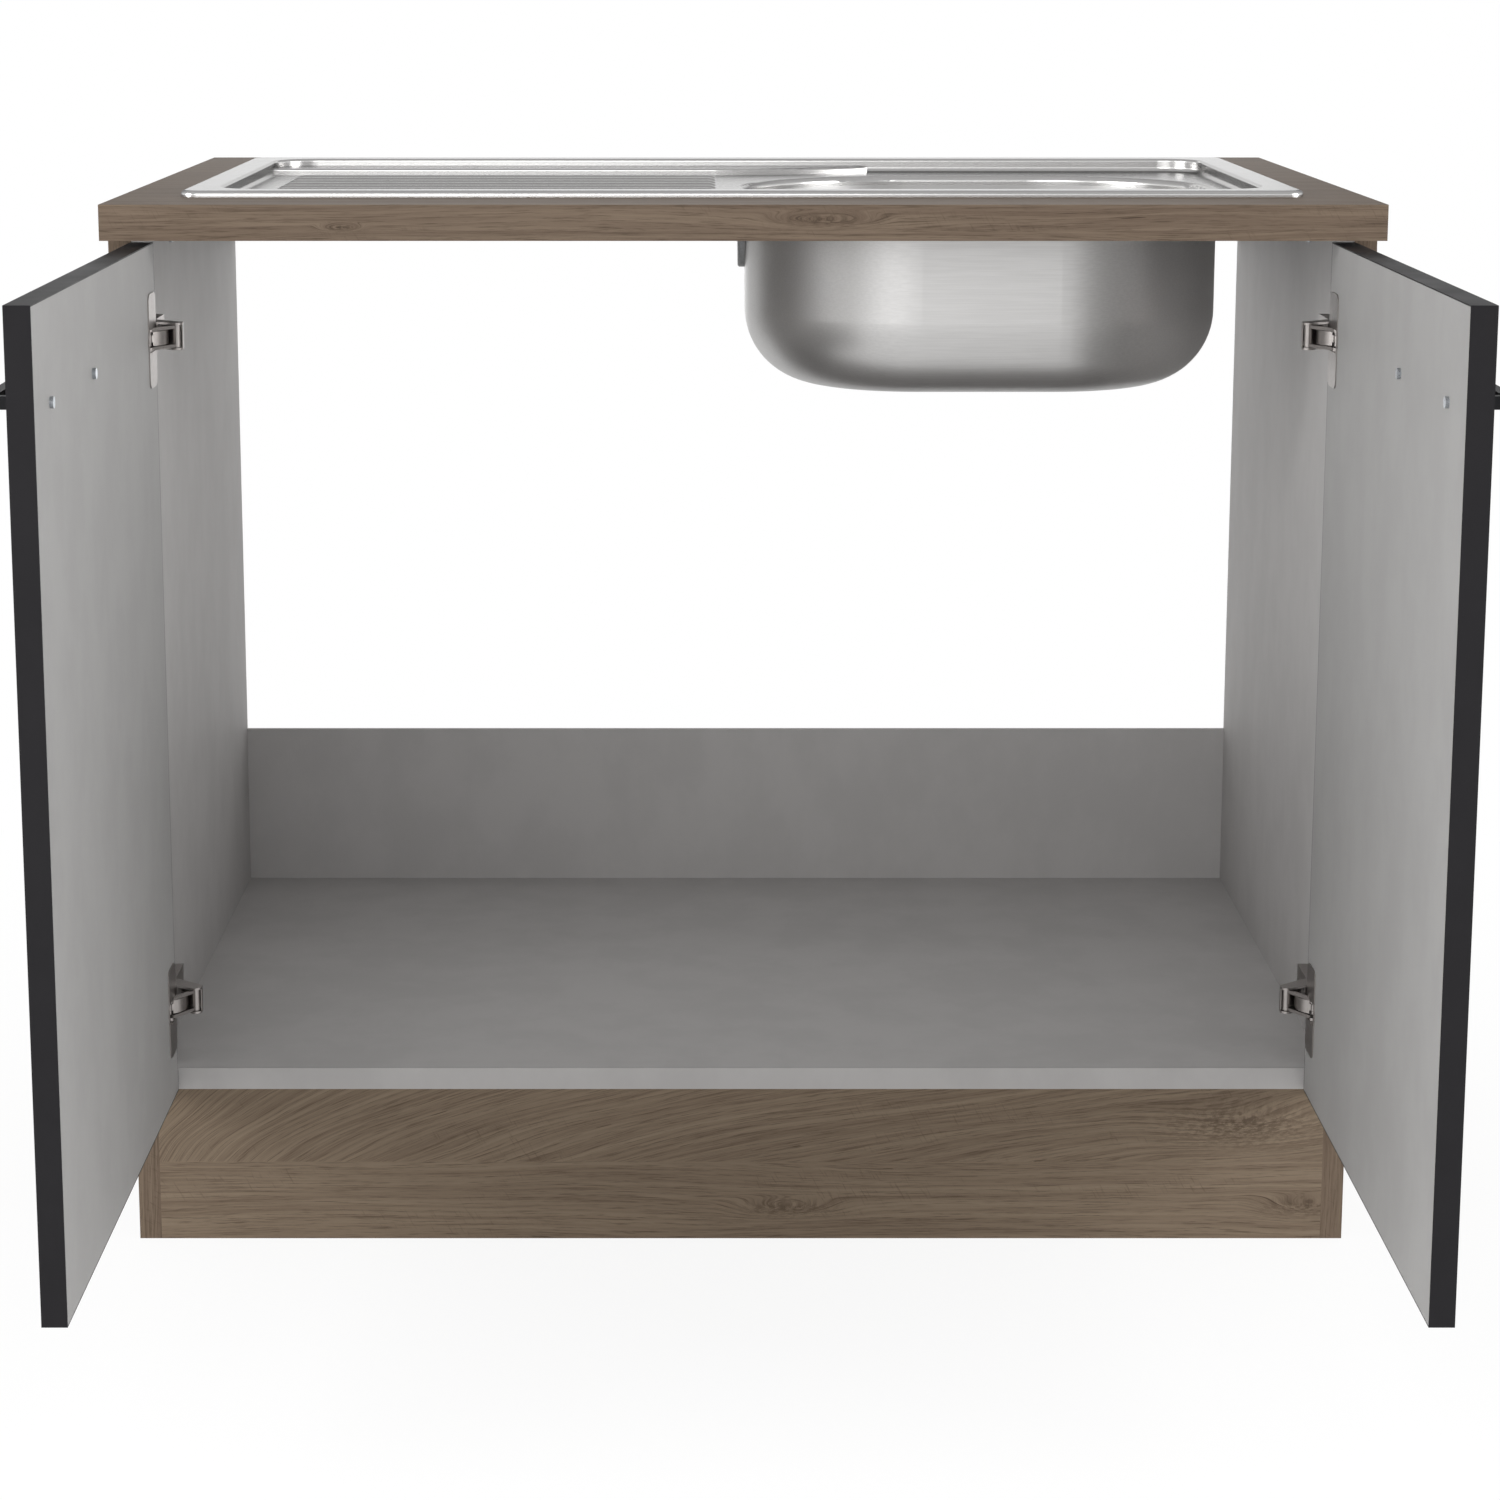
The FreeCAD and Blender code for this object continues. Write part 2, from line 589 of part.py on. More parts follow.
def make_sink_bowl():
    """Pressed bowl with the waste hole, welded under the deck's collar."""
    shell = bowl_form(SHEET_T).cut(bowl_form(0.0)).cut(sink_wide(COLLAR_Z, TOP_Z))
    low = BOWL_BOTTOM_Z - WASTE_SEAT_DROP
    centre = Vec(BOWL_CX, BOWL_CY, 0)
    floor = BOWL_BOTTOM_Z + SHEET_T
    wall = rod(WASTE_SEAT_R + SHEET_T, centre + UP * low, centre + UP * floor)
    hollow = rod(WASTE_SEAT_R, centre + UP * (low + SHEET_T), centre + UP * (floor + OVERCUT))
    hole = rod(WASTE_R, centre + UP * (low - OVERCUT), centre + UP * (floor + OVERCUT))
    shell = union([shell, wall]).cut([hollow, hole, overflow_bore(OVERFLOW_HOLE_R)])
    write("sink_bowl", shell)


def overflow_point(x):
    """A point on the overflow's axis."""
    return Vec(x, BOWL_CY, OVERFLOW_Z)


def overflow_bore(radius):
    """Round hole through the bowl's left wall."""
    return rod(radius, overflow_point(BOWL_X0 - OVERFLOW_CAP_T), overflow_point(BOWL_X0 + OVERFLOW_CAP_T))


def make_overflow():
    """Overflow cap outside the bowl, slotted rose inside, and its screw."""
    outer = BOWL_X0 - SHEET_T
    back = outer - OVERFLOW_CAP_T
    cap = rod(OVERFLOW_CAP_R, overflow_point(back), overflow_point(outer))
    back_rim = [edge for edge in cap.Edges if edge.BoundBox.XMax < back + SAME_PLACE]
    cap = cap.makeFillet(OVERFLOW_CAP_EDGE_R, back_rim)
    hollow = rod(OVERFLOW_HOLE_R, overflow_point(outer - OVERFLOW_CAP_DISH), overflow_point(outer))
    stem_hole = rod(OVERFLOW_SCREW_R + HOLE_CLEARANCE, overflow_point(back), overflow_point(outer))
    write("overflow_cap", cap.cut([hollow, stem_hole]))

    front = BOWL_X0 + OVERFLOW_ROSE_T
    rose = rod(OVERFLOW_ROSE_R, overflow_point(BOWL_X0), overflow_point(front))
    rose = rose.cut(rod(OVERFLOW_SCREW_R + HOLE_CLEARANCE, overflow_point(BOWL_X0), overflow_point(front)))
    for index in range(OVERFLOW_SLOTS):
        angle = 2 * math.pi * index / OVERFLOW_SLOTS
        offset = Vec(0, math.cos(angle), math.sin(angle)) * OVERFLOW_SLOT_RING_R
        slot = rod(OVERFLOW_SLOT_R, overflow_point(BOWL_X0) + offset, overflow_point(front) + offset)
        rose = rose.cut(slot)
    write("overflow_rose", rose)

    head_end = overflow_point(front + PAN_HEAD_T)
    stem = rod(OVERFLOW_SCREW_R, overflow_point(back), overflow_point(front))
    head = rod(OVERFLOW_SCREW_HEAD_R, overflow_point(front), head_end)
    write("overflow_screw", union([stem, head]))


def make_sink_seal():
    """Foam strip between the rim and the worktop."""
    outer = SHEET_T + SEAL_INSET
    inner = outer + SEAL_W
    top = RIM_Z - SHEET_T
    ring = rounded_box(-SINK_W / 2 + outer, SINK_W / 2 - outer, SINK_FRONT + outer, SINK_BACK - outer,
                       TOP_Z, top, SINK_CORNER_R - outer)
    hole = rounded_box(-SINK_W / 2 + inner, SINK_W / 2 - inner, SINK_FRONT + inner, SINK_BACK - inner,
                       TOP_Z - OVERCUT, top + OVERCUT, SINK_CORNER_R)
    write("sink_seal", ring.cut(hole))


def clamp_at_origin(sheet_z):
    """One sink clamp and its screw: tab towards -X, jaw towards +X, leg at X = 0."""
    tab_top = sheet_z - SHEET_T
    jaw_z = SIDE_H - CLAMP_DROP
    half = CLAMP_W / 2
    tab = box(-CLAMP_TAB, CLAMP_T, -half, half, tab_top - CLAMP_T, tab_top)
    leg = box(0, CLAMP_T, -half, half, jaw_z - CLAMP_T, tab_top)
    jaw = box(0, CLAMP_JAW, -half, half, jaw_z - CLAMP_T, jaw_z)
    screw_x = (CLAMP_JAW + CUTOUT_GAP) / 2 + CLAMP_T
    foot = Vec(screw_x, 0, jaw_z - CLAMP_T - CLAMP_SCREW_TAIL)
    tip = Vec(screw_x, 0, SIDE_H)
    clamp = union([tab, leg, jaw]).cut(rod(CLAMP_SCREW_R + HOLE_CLEARANCE, foot, tip))
    return clamp, rod(CLAMP_SCREW_R, foot, tip)


def make_sink_clamps():
    """Clamps that pull the sink down on the worktop, at both ends and the back."""
    clamps = []
    screws = []
    leg_x = RECESS_X - FLOOR_R - CLAMP_INSET
    for y in (CLAMP_FRONT_Y, CLAMP_BACK_Y):
        for turn, x in ((0, leg_x), (180, -leg_x)):
            for group, piece in zip((clamps, screws), clamp_at_origin(FLOOR_Z)):
                piece.rotate(Vec(0, 0, 0), UP, turn)
                piece.translate(Vec(x, y, 0))
                group.append(piece)
    for x in CLAMP_REAR_X:
        sheet_z = LEDGE_Z if x < LEDGE_BEND_X else FLOOR_Z
        for group, piece in zip((clamps, screws), clamp_at_origin(sheet_z)):
            piece.rotate(Vec(0, 0, 0), UP, 90)
            piece.translate(Vec(x, RECESS_Y1 - FLOOR_R - CLAMP_INSET, 0))
            group.append(piece)
    write("sink_clamps", clamps)
    write("sink_clamp_screws", screws)


# ---------------------------------------------------------------- hinge geometry
def pivot_between(closed, opened, offset):
    """Centre of the arc that carries one point to another, offset off their line."""
    along = opened - closed
    square = Vec(-along.y, along.x, 0).normalize()
    return (closed + opened) * 0.5 - square * offset


def cup_pin(edge_distance, depth):
    """A cup pin's place in plan, with the door open."""
    return Vec(DOOR_IN_X + depth, DOOR_EDGE_Y - edge_distance, 0)


def cup_pin_closed(edge_distance, depth):
    """The same pin's place with the door closed."""
    return Vec(HALF_W - DOOR_SIDE_INSET - edge_distance, -DOOR_FACE_GAP - depth, 0)


OUTER_CUP = cup_pin(OUTER_A, OUTER_B)
INNER_CUP = cup_pin(INNER_A, INNER_B)
OUTER_ARM = pivot_between(cup_pin_closed(OUTER_A, OUTER_B), OUTER_CUP, OUTER_OFFSET)
INNER_ARM = pivot_between(cup_pin_closed(INNER_A, INNER_B), INNER_CUP, INNER_OFFSET)


def lift(point, z):
    """A plan point at a height."""
    return Vec(point.x, point.y, z)


def upright(radius, point, half, inner=0.0):
    """Round bars about a plan point: one over +-half, or two that leave the middle free."""
    if inner <= 0:
        return rod(radius, lift(point, -half), lift(point, half))
    high = rod(radius, lift(point, inner), lift(point, half))
    return Part.Compound([high, rod(radius, lift(point, -half), lift(point, -inner))])


def layers(outline, half, inner=0.0):
    """A plan outline as one layer over +-half, or as two with the middle free."""
    if inner <= 0:
        return [extruded(outline, -half, half)]
    return [extruded(outline, inner, half), extruded(outline, -half, -inner)]


def arc_bar(start, end, sagitta, half_t):
    """Plan outline of a curved bar from start to end."""
    chord = end - start
    square = Vec(-chord.y, chord.x, 0).normalize()
    radius = (chord.Length ** 2 / 4 + sagitta ** 2) / (2 * sagitta)
    centre = (start + end) * 0.5 + square * (sagitta - radius)
    rims = []
    for offset in (half_t, -half_t):
        points = [centre + (p - centre).normalize() * (radius + offset) for p in (start, end)]
        rims.append((points[0], centre + square * (radius + offset), points[1]))
    outer, inner = rims
    return [
        Part.Arc(*outer).toShape(),
        Part.LineSegment(outer[2], inner[2]).toShape(),
        Part.Arc(*reversed(inner)).toShape(),
        Part.LineSegment(inner[0], outer[0]).toShape(),
    ]


def straight_bar(start, end, half_t):
    """Plan outline of a straight bar from start to end."""
    side = Vec(start.y - end.y, end.x - start.x, 0).normalize() * half_t
    corners = [start + side, end + side, end - side, start - side]
    return polygon([(p.x, p.y) for p in corners])


def hinge_outer_link():
    """Curved outer link, from the arm round the door's edge into the cup."""
    outline = arc_bar(OUTER_CUP, OUTER_ARM, LEVER_SAGITTA, LINK_HALF_T)
    arm = layers(outline, LEVER_HALF)[0]
    notch_r = LUG_HALF_W + CUP_PIN_R
    arm = arm.cut(upright(notch_r, OUTER_CUP, LINK_HALF, LEVER_EYE_HALF))
    eyes = [upright(LEVER_CUP_EYE_R, OUTER_CUP, LEVER_EYE_HALF), upright(ARM_EYE_R, OUTER_ARM, LINK_HALF)]
    link = union([arm] + eyes)
    bores = [upright(CUP_PIN_R + HOLE_CLEARANCE, OUTER_CUP, LINK_HALF + OVERCUT),
             upright(PIN_R + HOLE_CLEARANCE, OUTER_ARM, LINK_HALF + OVERCUT)]
    return link.cut(bores)


def hinge_inner_link():
    """Forked inner link; its slotted eyes stand clear of the cup pins."""
    tine_inner = LINK_HALF - TINE_T
    along = (INNER_CUP - INNER_ARM).normalize()
    square = Vec(-along.y, along.x, 0)
    slot_ends = [INNER_CUP - square * SLOT_IN, INNER_CUP + square * SLOT_OUT]
    pieces = [upright(ARM_EYE_R, INNER_ARM, LINK_HALF)]
    pieces += layers(straight_bar(INNER_ARM, INNER_CUP, LINK_HALF_T), LINK_HALF, tine_inner)
    head_r = SLOT_R + SLOT_WALL
    pieces += layers(straight_bar(slot_ends[0], slot_ends[1], head_r), LINK_HALF, tine_inner)
    for end in slot_ends:
        pieces += upright(head_r, end, LINK_HALF, tine_inner).Solids
    link = union(pieces)
    cuts = layers(straight_bar(slot_ends[0], slot_ends[1], SLOT_R), LINK_HALF + OVERCUT)
    cuts += [upright(SLOT_R, end, LINK_HALF + OVERCUT) for end in slot_ends]
    cuts.append(upright(PIN_R + HOLE_CLEARANCE, INNER_ARM, LINK_HALF + OVERCUT))
    return link.cut(cuts)


def cup_screw(sign, clearance=0.0):
    """Countersunk screw of the cup's flange, above or below the cup."""
    z = sign * CUP_SCREW_PITCH / 2
    face = Vec(DOOR_IN_X - FLANGE_T, CUP_Y, z)
    neck = face + RIGHT * (CUP_SCREW_HEAD_R - CUP_SCREW_R)
    head = cone(CUP_SCREW_HEAD_R + clearance, CUP_SCREW_R + clearance, face, neck)
    return union([head, rod(CUP_SCREW_R + clearance, neck, face + RIGHT * (CUP_SCREW_L + clearance))])


def hinge_cup():
    """Cup with its flange, the cavity for the links and two lugs for a pin."""
    centre = Vec(DOOR_IN_X, CUP_Y, 0)
    body = rod(CUP_R, centre, centre + RIGHT * CUP_T)
    face_x = DOOR_IN_X - FLANGE_T
    half_h = FLANGE_H / 2
    half_w = FLANGE_W / 2
    flange = box(face_x, DOOR_IN_X, CUP_Y - half_w, CUP_Y + half_w, -half_h, half_h)
    corners = [edge for edge in flange.Edges if edge.BoundBox.YLength + edge.BoundBox.ZLength < SAME_PLACE]
    flange = flange.makeFillet(FLANGE_CORNER_R, corners)
    rim = rod(CUP_R + FLANGE_RIM, Vec(face_x, CUP_Y, 0), centre)
    cavity = rod(CUP_R - CUP_WALL, centre - RIGHT * (FLANGE_T + OVERCUT), centre + RIGHT * (CUP_T - CUP_WALL))
    lane = box(face_x - OVERCUT, DOOR_IN_X + CUP_T, CUP_Y - CUP_R, CUP_Y + CUP_R, -CUP_HALF, CUP_HALF)
    cavity = cavity.common(lane)
    cup = union([body, flange, rim]).cut(cavity)
    lug_inner = LEVER_EYE_HALF + LANE_GAP
    lug_outer = lug_inner + LUG_T
    floor_x = DOOR_IN_X + CUP_T - CUP_WALL
    pieces = [cup]
    for z0, z1 in ((lug_inner, lug_outer), (-lug_outer, -lug_inner)):
        pieces.append(box(OUTER_CUP.x, floor_x, OUTER_CUP.y - LUG_HALF_W, OUTER_CUP.y + LUG_HALF_W, z0, z1))
        pieces.append(rod(LUG_HALF_W, lift(OUTER_CUP, z0), lift(OUTER_CUP, z1)))
    cup = union(pieces)
    bores = [upright(CUP_PIN_R + HOLE_CLEARANCE, OUTER_CUP, lug_outer + HOLE_CLEARANCE)]
    bores += upright(CUP_PIN_R + HOLE_CLEARANCE, INNER_CUP, CUP_HALF + PIN_BITE).Solids
    bores += [cup_screw(sign, HOLE_CLEARANCE) for sign in (-1, 1)]
    return cup.cut(bores)


def hinge_cup_pins():
    """Pin between the lugs, and two stub pins in the cup's cheeks."""
    lug_outer = LEVER_EYE_HALF + LANE_GAP + LUG_T
    stubs = upright(CUP_PIN_R, INNER_CUP, CUP_HALF + PIN_BITE, LINK_HALF - TINE_T - LANE_GAP)
    return [upright(CUP_PIN_R, OUTER_CUP, lug_outer)] + stubs.Solids


def arm_profile():
    """Plan outline of the arm's cheeks, from the nose to the back."""
    back_x = INNER_X - ARM_HEIGHT
    foot_x = INNER_X - ARM_FOOT
    return [
        (INNER_ARM.x - NOSE_R, INNER_ARM.y),
        (INNER_ARM.x, INNER_ARM.y - NOSE_R),
        (OUTER_ARM.x + NOSE_R, OUTER_ARM.y - NOSE_R),
        (foot_x, ARM_BEND_Y),
        (foot_x, ARM_BACK_Y),
        (back_x, ARM_BACK_Y),
        (back_x, ARM_BEND_Y),
        (INNER_ARM.x - NOSE_R, INNER_ARM.y + NOSE_R),
    ]


def arm_back():
    """Plan outline of the arm's bent back plate."""
    back_x = INNER_X - ARM_HEIGHT
    nose_x = INNER_ARM.x - NOSE_R
    nose_y = INNER_ARM.y + NOSE_R
    return [
        (nose_x, INNER_ARM.y),
        (nose_x + ARM_WALL / 2, INNER_ARM.y),
        (nose_x + ARM_WALL / 2, nose_y - ARM_WALL / 2),
        (back_x + ARM_WALL, ARM_BEND_Y),
        (back_x + ARM_WALL, ARM_BACK_Y),
        (back_x, ARM_BACK_Y),
        (back_x, ARM_BEND_Y),
        (nose_x, nose_y),
    ]


def arm_screw(y, clearance=0.0):
    """Screw through the arm's back into the mounting plate."""
    seat = Vec(INNER_X - ARM_HEIGHT, y, 0)
    head = rod(ARM_SCREW_HEAD_R, seat - RIGHT * ARM_SCREW_HEAD_T, seat)
    shank = rod(ARM_SCREW_R + clearance, seat, seat + RIGHT * (ARM_SCREW_L + clearance))
    return union([head, shank])


def hinge_arm():
    """Channel-shaped hinge arm: two cheeks and a bent back."""
    cheeks = layers(polygon(arm_profile()), ARM_HALF, CUP_HALF)
    noses = upright(NOSE_R, INNER_ARM, ARM_HALF, CUP_HALF).Solids
    back = layers(polygon(arm_back()), ARM_HALF)
    arm = union(cheeks + noses + back)
    bores = [upright(PIN_R + HOLE_CLEARANCE, INNER_ARM, ARM_HALF + OVERCUT),
             upright(PIN_R + HOLE_CLEARANCE, OUTER_ARM, ARM_HALF + OVERCUT)]
    bores += [arm_screw(y, HOLE_CLEARANCE) for y in (ARM_SCREW_Y, ADJUST_SCREW_Y)]
    return arm.cut(bores)


def hinge_arm_pins():
    """The two pins that carry the links in the arm."""
    return [upright(PIN_R, INNER_ARM, ARM_HALF), upright(PIN_R, OUTER_ARM, ARM_HALF)]


def plate_screw(sign, clearance=0.0):
    """Screw of the mounting plate's wing, into the side panel."""
    seat = Vec(INNER_X - PLATE_WING_T, PLATE_SCREW_Y, sign * PLATE_SCREW_PITCH / 2)
    head = rod(PAN_HEAD_R + clearance, seat - RIGHT * PAN_HEAD_T, seat)
    shank = rod(PLATE_SCREW_R + clearance, seat, seat + RIGHT * (PLATE_SCREW_L + clearance))
    return union([head, shank])


def hinge_plate():
    """Cross-shaped mounting plate on the side panel."""
    back_x = INNER_X - ARM_HEIGHT + ARM_WALL
    core = box(back_x, INNER_X, PLATE_Y0, PLATE_Y1, -CUP_HALF, CUP_HALF)
    half_wing = PLATE_WING_W / 2
    reach = PLATE_SCREW_PITCH / 2 + PLATE_WING_END
    wing = box(INNER_X - PLATE_WING_T, INNER_X, PLATE_SCREW_Y - half_wing, PLATE_SCREW_Y + half_wing,
               -reach, reach)
    plate = union([core, wing])
    bores = [plate_screw(sign, HOLE_CLEARANCE) for sign in (-1, 1)]
    bores += [arm_screw(y, HOLE_CLEARANCE) for y in (ARM_SCREW_Y, ADJUST_SCREW_Y)]
    return plate.cut(bores)


def at_hinges(shapes):
    """Copies of one hinge's pieces at every hinge height of the right door."""
    placed = []
    for z in HINGE_Z:
        for shape in shapes:
            copy = shape.copy()
            copy.translate(Vec(0, 0, z))
            placed.append(copy)
    return placed


def hinge_plate_holes():
    """Screw holes of the mounting plates in the right side panel."""
    return at_hinges([plate_screw(sign, HOLE_CLEARANCE) for sign in (-1, 1)])


def make_hinges():
    """All the hinge pieces, for both doors."""
    groups = {
        "hinge_cups": [hinge_cup()],
        "hinge_cup_pins": hinge_cup_pins(),
        "hinge_cup_screws": [cup_screw(sign) for sign in (-1, 1)],
        "hinge_outer_links": [hinge_outer_link()],
        "hinge_inner_links": [hinge_inner_link()],
        "hinge_arms": [hinge_arm()],
        "hinge_arm_pins": hinge_arm_pins(),
        "hinge_arm_screws": [arm_screw(y) for y in (ARM_SCREW_Y, ADJUST_SCREW_Y)],
        "hinge_plates": [hinge_plate()],
        "hinge_plate_screws": [plate_screw(sign) for sign in (-1, 1)],
    }
    for name, shapes in groups.items():
        placed = at_hinges(shapes)
        write("left_" + name, [mirrored(shape) for shape in placed])
        write("right_" + name, placed)


# ---------------------------------------------------------------- doors
def handle_screw(y, clearance=0.0):
    """Machine screw from the door's inner face into a leg of the handle."""
    seat = Vec(DOOR_IN_X, y, HANDLE_Z)
    end = Vec(DOOR_OUT_X + HANDLE_SCREW_GRIP + clearance, y, HANDLE_Z)
    head = rod(HANDLE_SCREW_HEAD_R, seat - RIGHT * HANDLE_SCREW_HEAD_T, seat)
    return union([head, rod(HANDLE_SCREW_R + clearance, seat, end)])


def make_handle():
    """Square-section bow handle."""
    half = HANDLE_BAR / 2
    end_x = DOOR_OUT_X + HANDLE_REACH
    bow = box(DOOR_OUT_X, end_x, HANDLE_Y[0] - half, HANDLE_Y[1] + half, HANDLE_Z - half, HANDLE_Z + half)
    gap = box(DOOR_OUT_X - OVERCUT, end_x - HANDLE_BAR, HANDLE_Y[0] + half, HANDLE_Y[1] - half,
              HANDLE_Z - HANDLE_BAR, HANDLE_Z + HANDLE_BAR)
    bow = bow.cut(gap)
    rounded = [edge for edge in bow.Edges if edge.BoundBox.XMax > DOOR_OUT_X + SAME_PLACE]
    bow = bow.makeFillet(HANDLE_CORNER_R, rounded)
    return bow.cut([handle_screw(y, HOLE_CLEARANCE) for y in HANDLE_Y])


def make_doors():
    """Door panels with their edging, handles and handle screws."""
    edge = DOOR_EDGING_T
    core = box(DOOR_IN_X, DOOR_OUT_X, DOOR_FREE_Y + edge, DOOR_EDGE_Y - edge, DOOR_Z0 + edge, DOOR_Z1 - edge)
    full = box(DOOR_IN_X, DOOR_OUT_X, DOOR_FREE_Y, DOOR_EDGE_Y, DOOR_Z0, DOOR_Z1)
    edging = full.cut(core)
    pocket = rod(CUP_R + CUP_POCKET_GAP, Vec(DOOR_IN_X - OVERCUT, CUP_Y, 0), Vec(DOOR_IN_X + CUP_T, CUP_Y, 0))
    cuts = at_hinges([pocket] + [cup_screw(sign, HOLE_CLEARANCE) for sign in (-1, 1)])
    cuts += [handle_screw(y, HOLE_CLEARANCE) for y in HANDLE_Y]
    core = core.cut(cuts)
    pieces = {
        "door_panel": [core],
        "door_edging": [edging],
        "handle": [make_handle()],
        "handle_screws": [handle_screw(y) for y in HANDLE_Y],
    }
    for name, shapes in pieces.items():
        write("left_" + name, [mirrored(shape) for shape in shapes])
        write("right_" + name, shapes)


def main():
    """Build and write every piece."""
    os.makedirs("parts", exist_ok=True)
    make_carcass()
    make_worktop()
    make_brackets()
    make_sink_deck()
    make_sink_bowl()
    make_overflow()
    make_sink_seal()
    make_sink_clamps()
    make_hinges()
    make_doors()


main()
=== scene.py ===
"""Looks of the kitchen sink unit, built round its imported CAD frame.

Metres throughout, in the frame of the CAD parts: X along the front, Y to the back, Z up.
"""

import logging
import math
from dataclasses import dataclass
from enum import Enum
from typing import Any, Iterable, Optional, Union

import bmesh
import bpy
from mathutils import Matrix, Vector


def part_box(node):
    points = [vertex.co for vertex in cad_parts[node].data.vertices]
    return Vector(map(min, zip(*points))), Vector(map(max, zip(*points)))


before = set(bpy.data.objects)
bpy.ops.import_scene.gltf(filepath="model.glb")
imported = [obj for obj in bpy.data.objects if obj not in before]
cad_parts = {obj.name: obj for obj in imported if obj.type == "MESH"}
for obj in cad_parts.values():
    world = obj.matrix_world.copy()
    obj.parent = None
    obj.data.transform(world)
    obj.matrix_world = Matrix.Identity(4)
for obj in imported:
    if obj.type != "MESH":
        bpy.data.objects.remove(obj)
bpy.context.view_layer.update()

LOG = logging.getLogger("sink_unit")
MM = 0.001
MATT = 0.1            # specular level of paper and lacquer, which mirror little
SOFT = (0.3, 0.7)     # limits on noise for a gradual change
FIRM = (0.35, 0.65)   # limits on noise for a quicker one
NODES: dict[str, bpy.types.Object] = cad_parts
MADE: dict[str, bpy.types.Material] = {}    # materials made so far, by name
Socket = bpy.types.NodeSocket


class Axis(Enum):
    """Direction that a grain or a brushing runs in, then the depth and the width across it.

    Each value gives the positions of these three in X, Y and Z.
    """

    X = (0, 1, 2)
    X_LYING = (0, 2, 1)
    Z = (2, 1, 0)
    Z_SIDE = (2, 0, 1)


class Hand(Enum):
    """Side of the unit that a door hangs on."""

    LEFT = "left"
    RIGHT = "right"


# ---------------------------------------------------------------- material tools
def linear(hex_colour: str) -> tuple[float, float, float, float]:
    """Turns an sRGB hex colour to linear.

    Args:
        hex_colour: Six hex digits, such as "7A6A5C".

    Returns:
        Linear red, green, blue and an alpha of 1.
    """
    # The numbers are those of the sRGB curve.
    values = [int(hex_colour[i:i + 2], 16) / 255 for i in (0, 2, 4)]
    parts = [v / 12.92 if v <= 0.04045 else ((v + 0.055) / 1.055) ** 2.4 for v in values]
    return parts[0], parts[1], parts[2], 1.0


def add(tree: bpy.types.NodeTree, kind: str, inputs: Optional[dict] = None,
        **settings: Any) -> bpy.types.Node:
    """Adds a shader node with its settings, values and links.

    Args:
        tree: Node tree of the material.
        kind: Node type without its "ShaderNode" prefix.
        inputs: Value, or the socket to link, for each input name or index.
        **settings: Properties of the node.

    Returns:
        The new node.
    """
    node = tree.nodes.new("ShaderNode" + kind)
    for key, value in settings.items():
        setattr(node, key, value)
    for key, value in (inputs or {}).items():
        if isinstance(value, Socket):
            tree.links.new(value, node.inputs[key])
        else:
            node.inputs[key].default_value = value
    return node


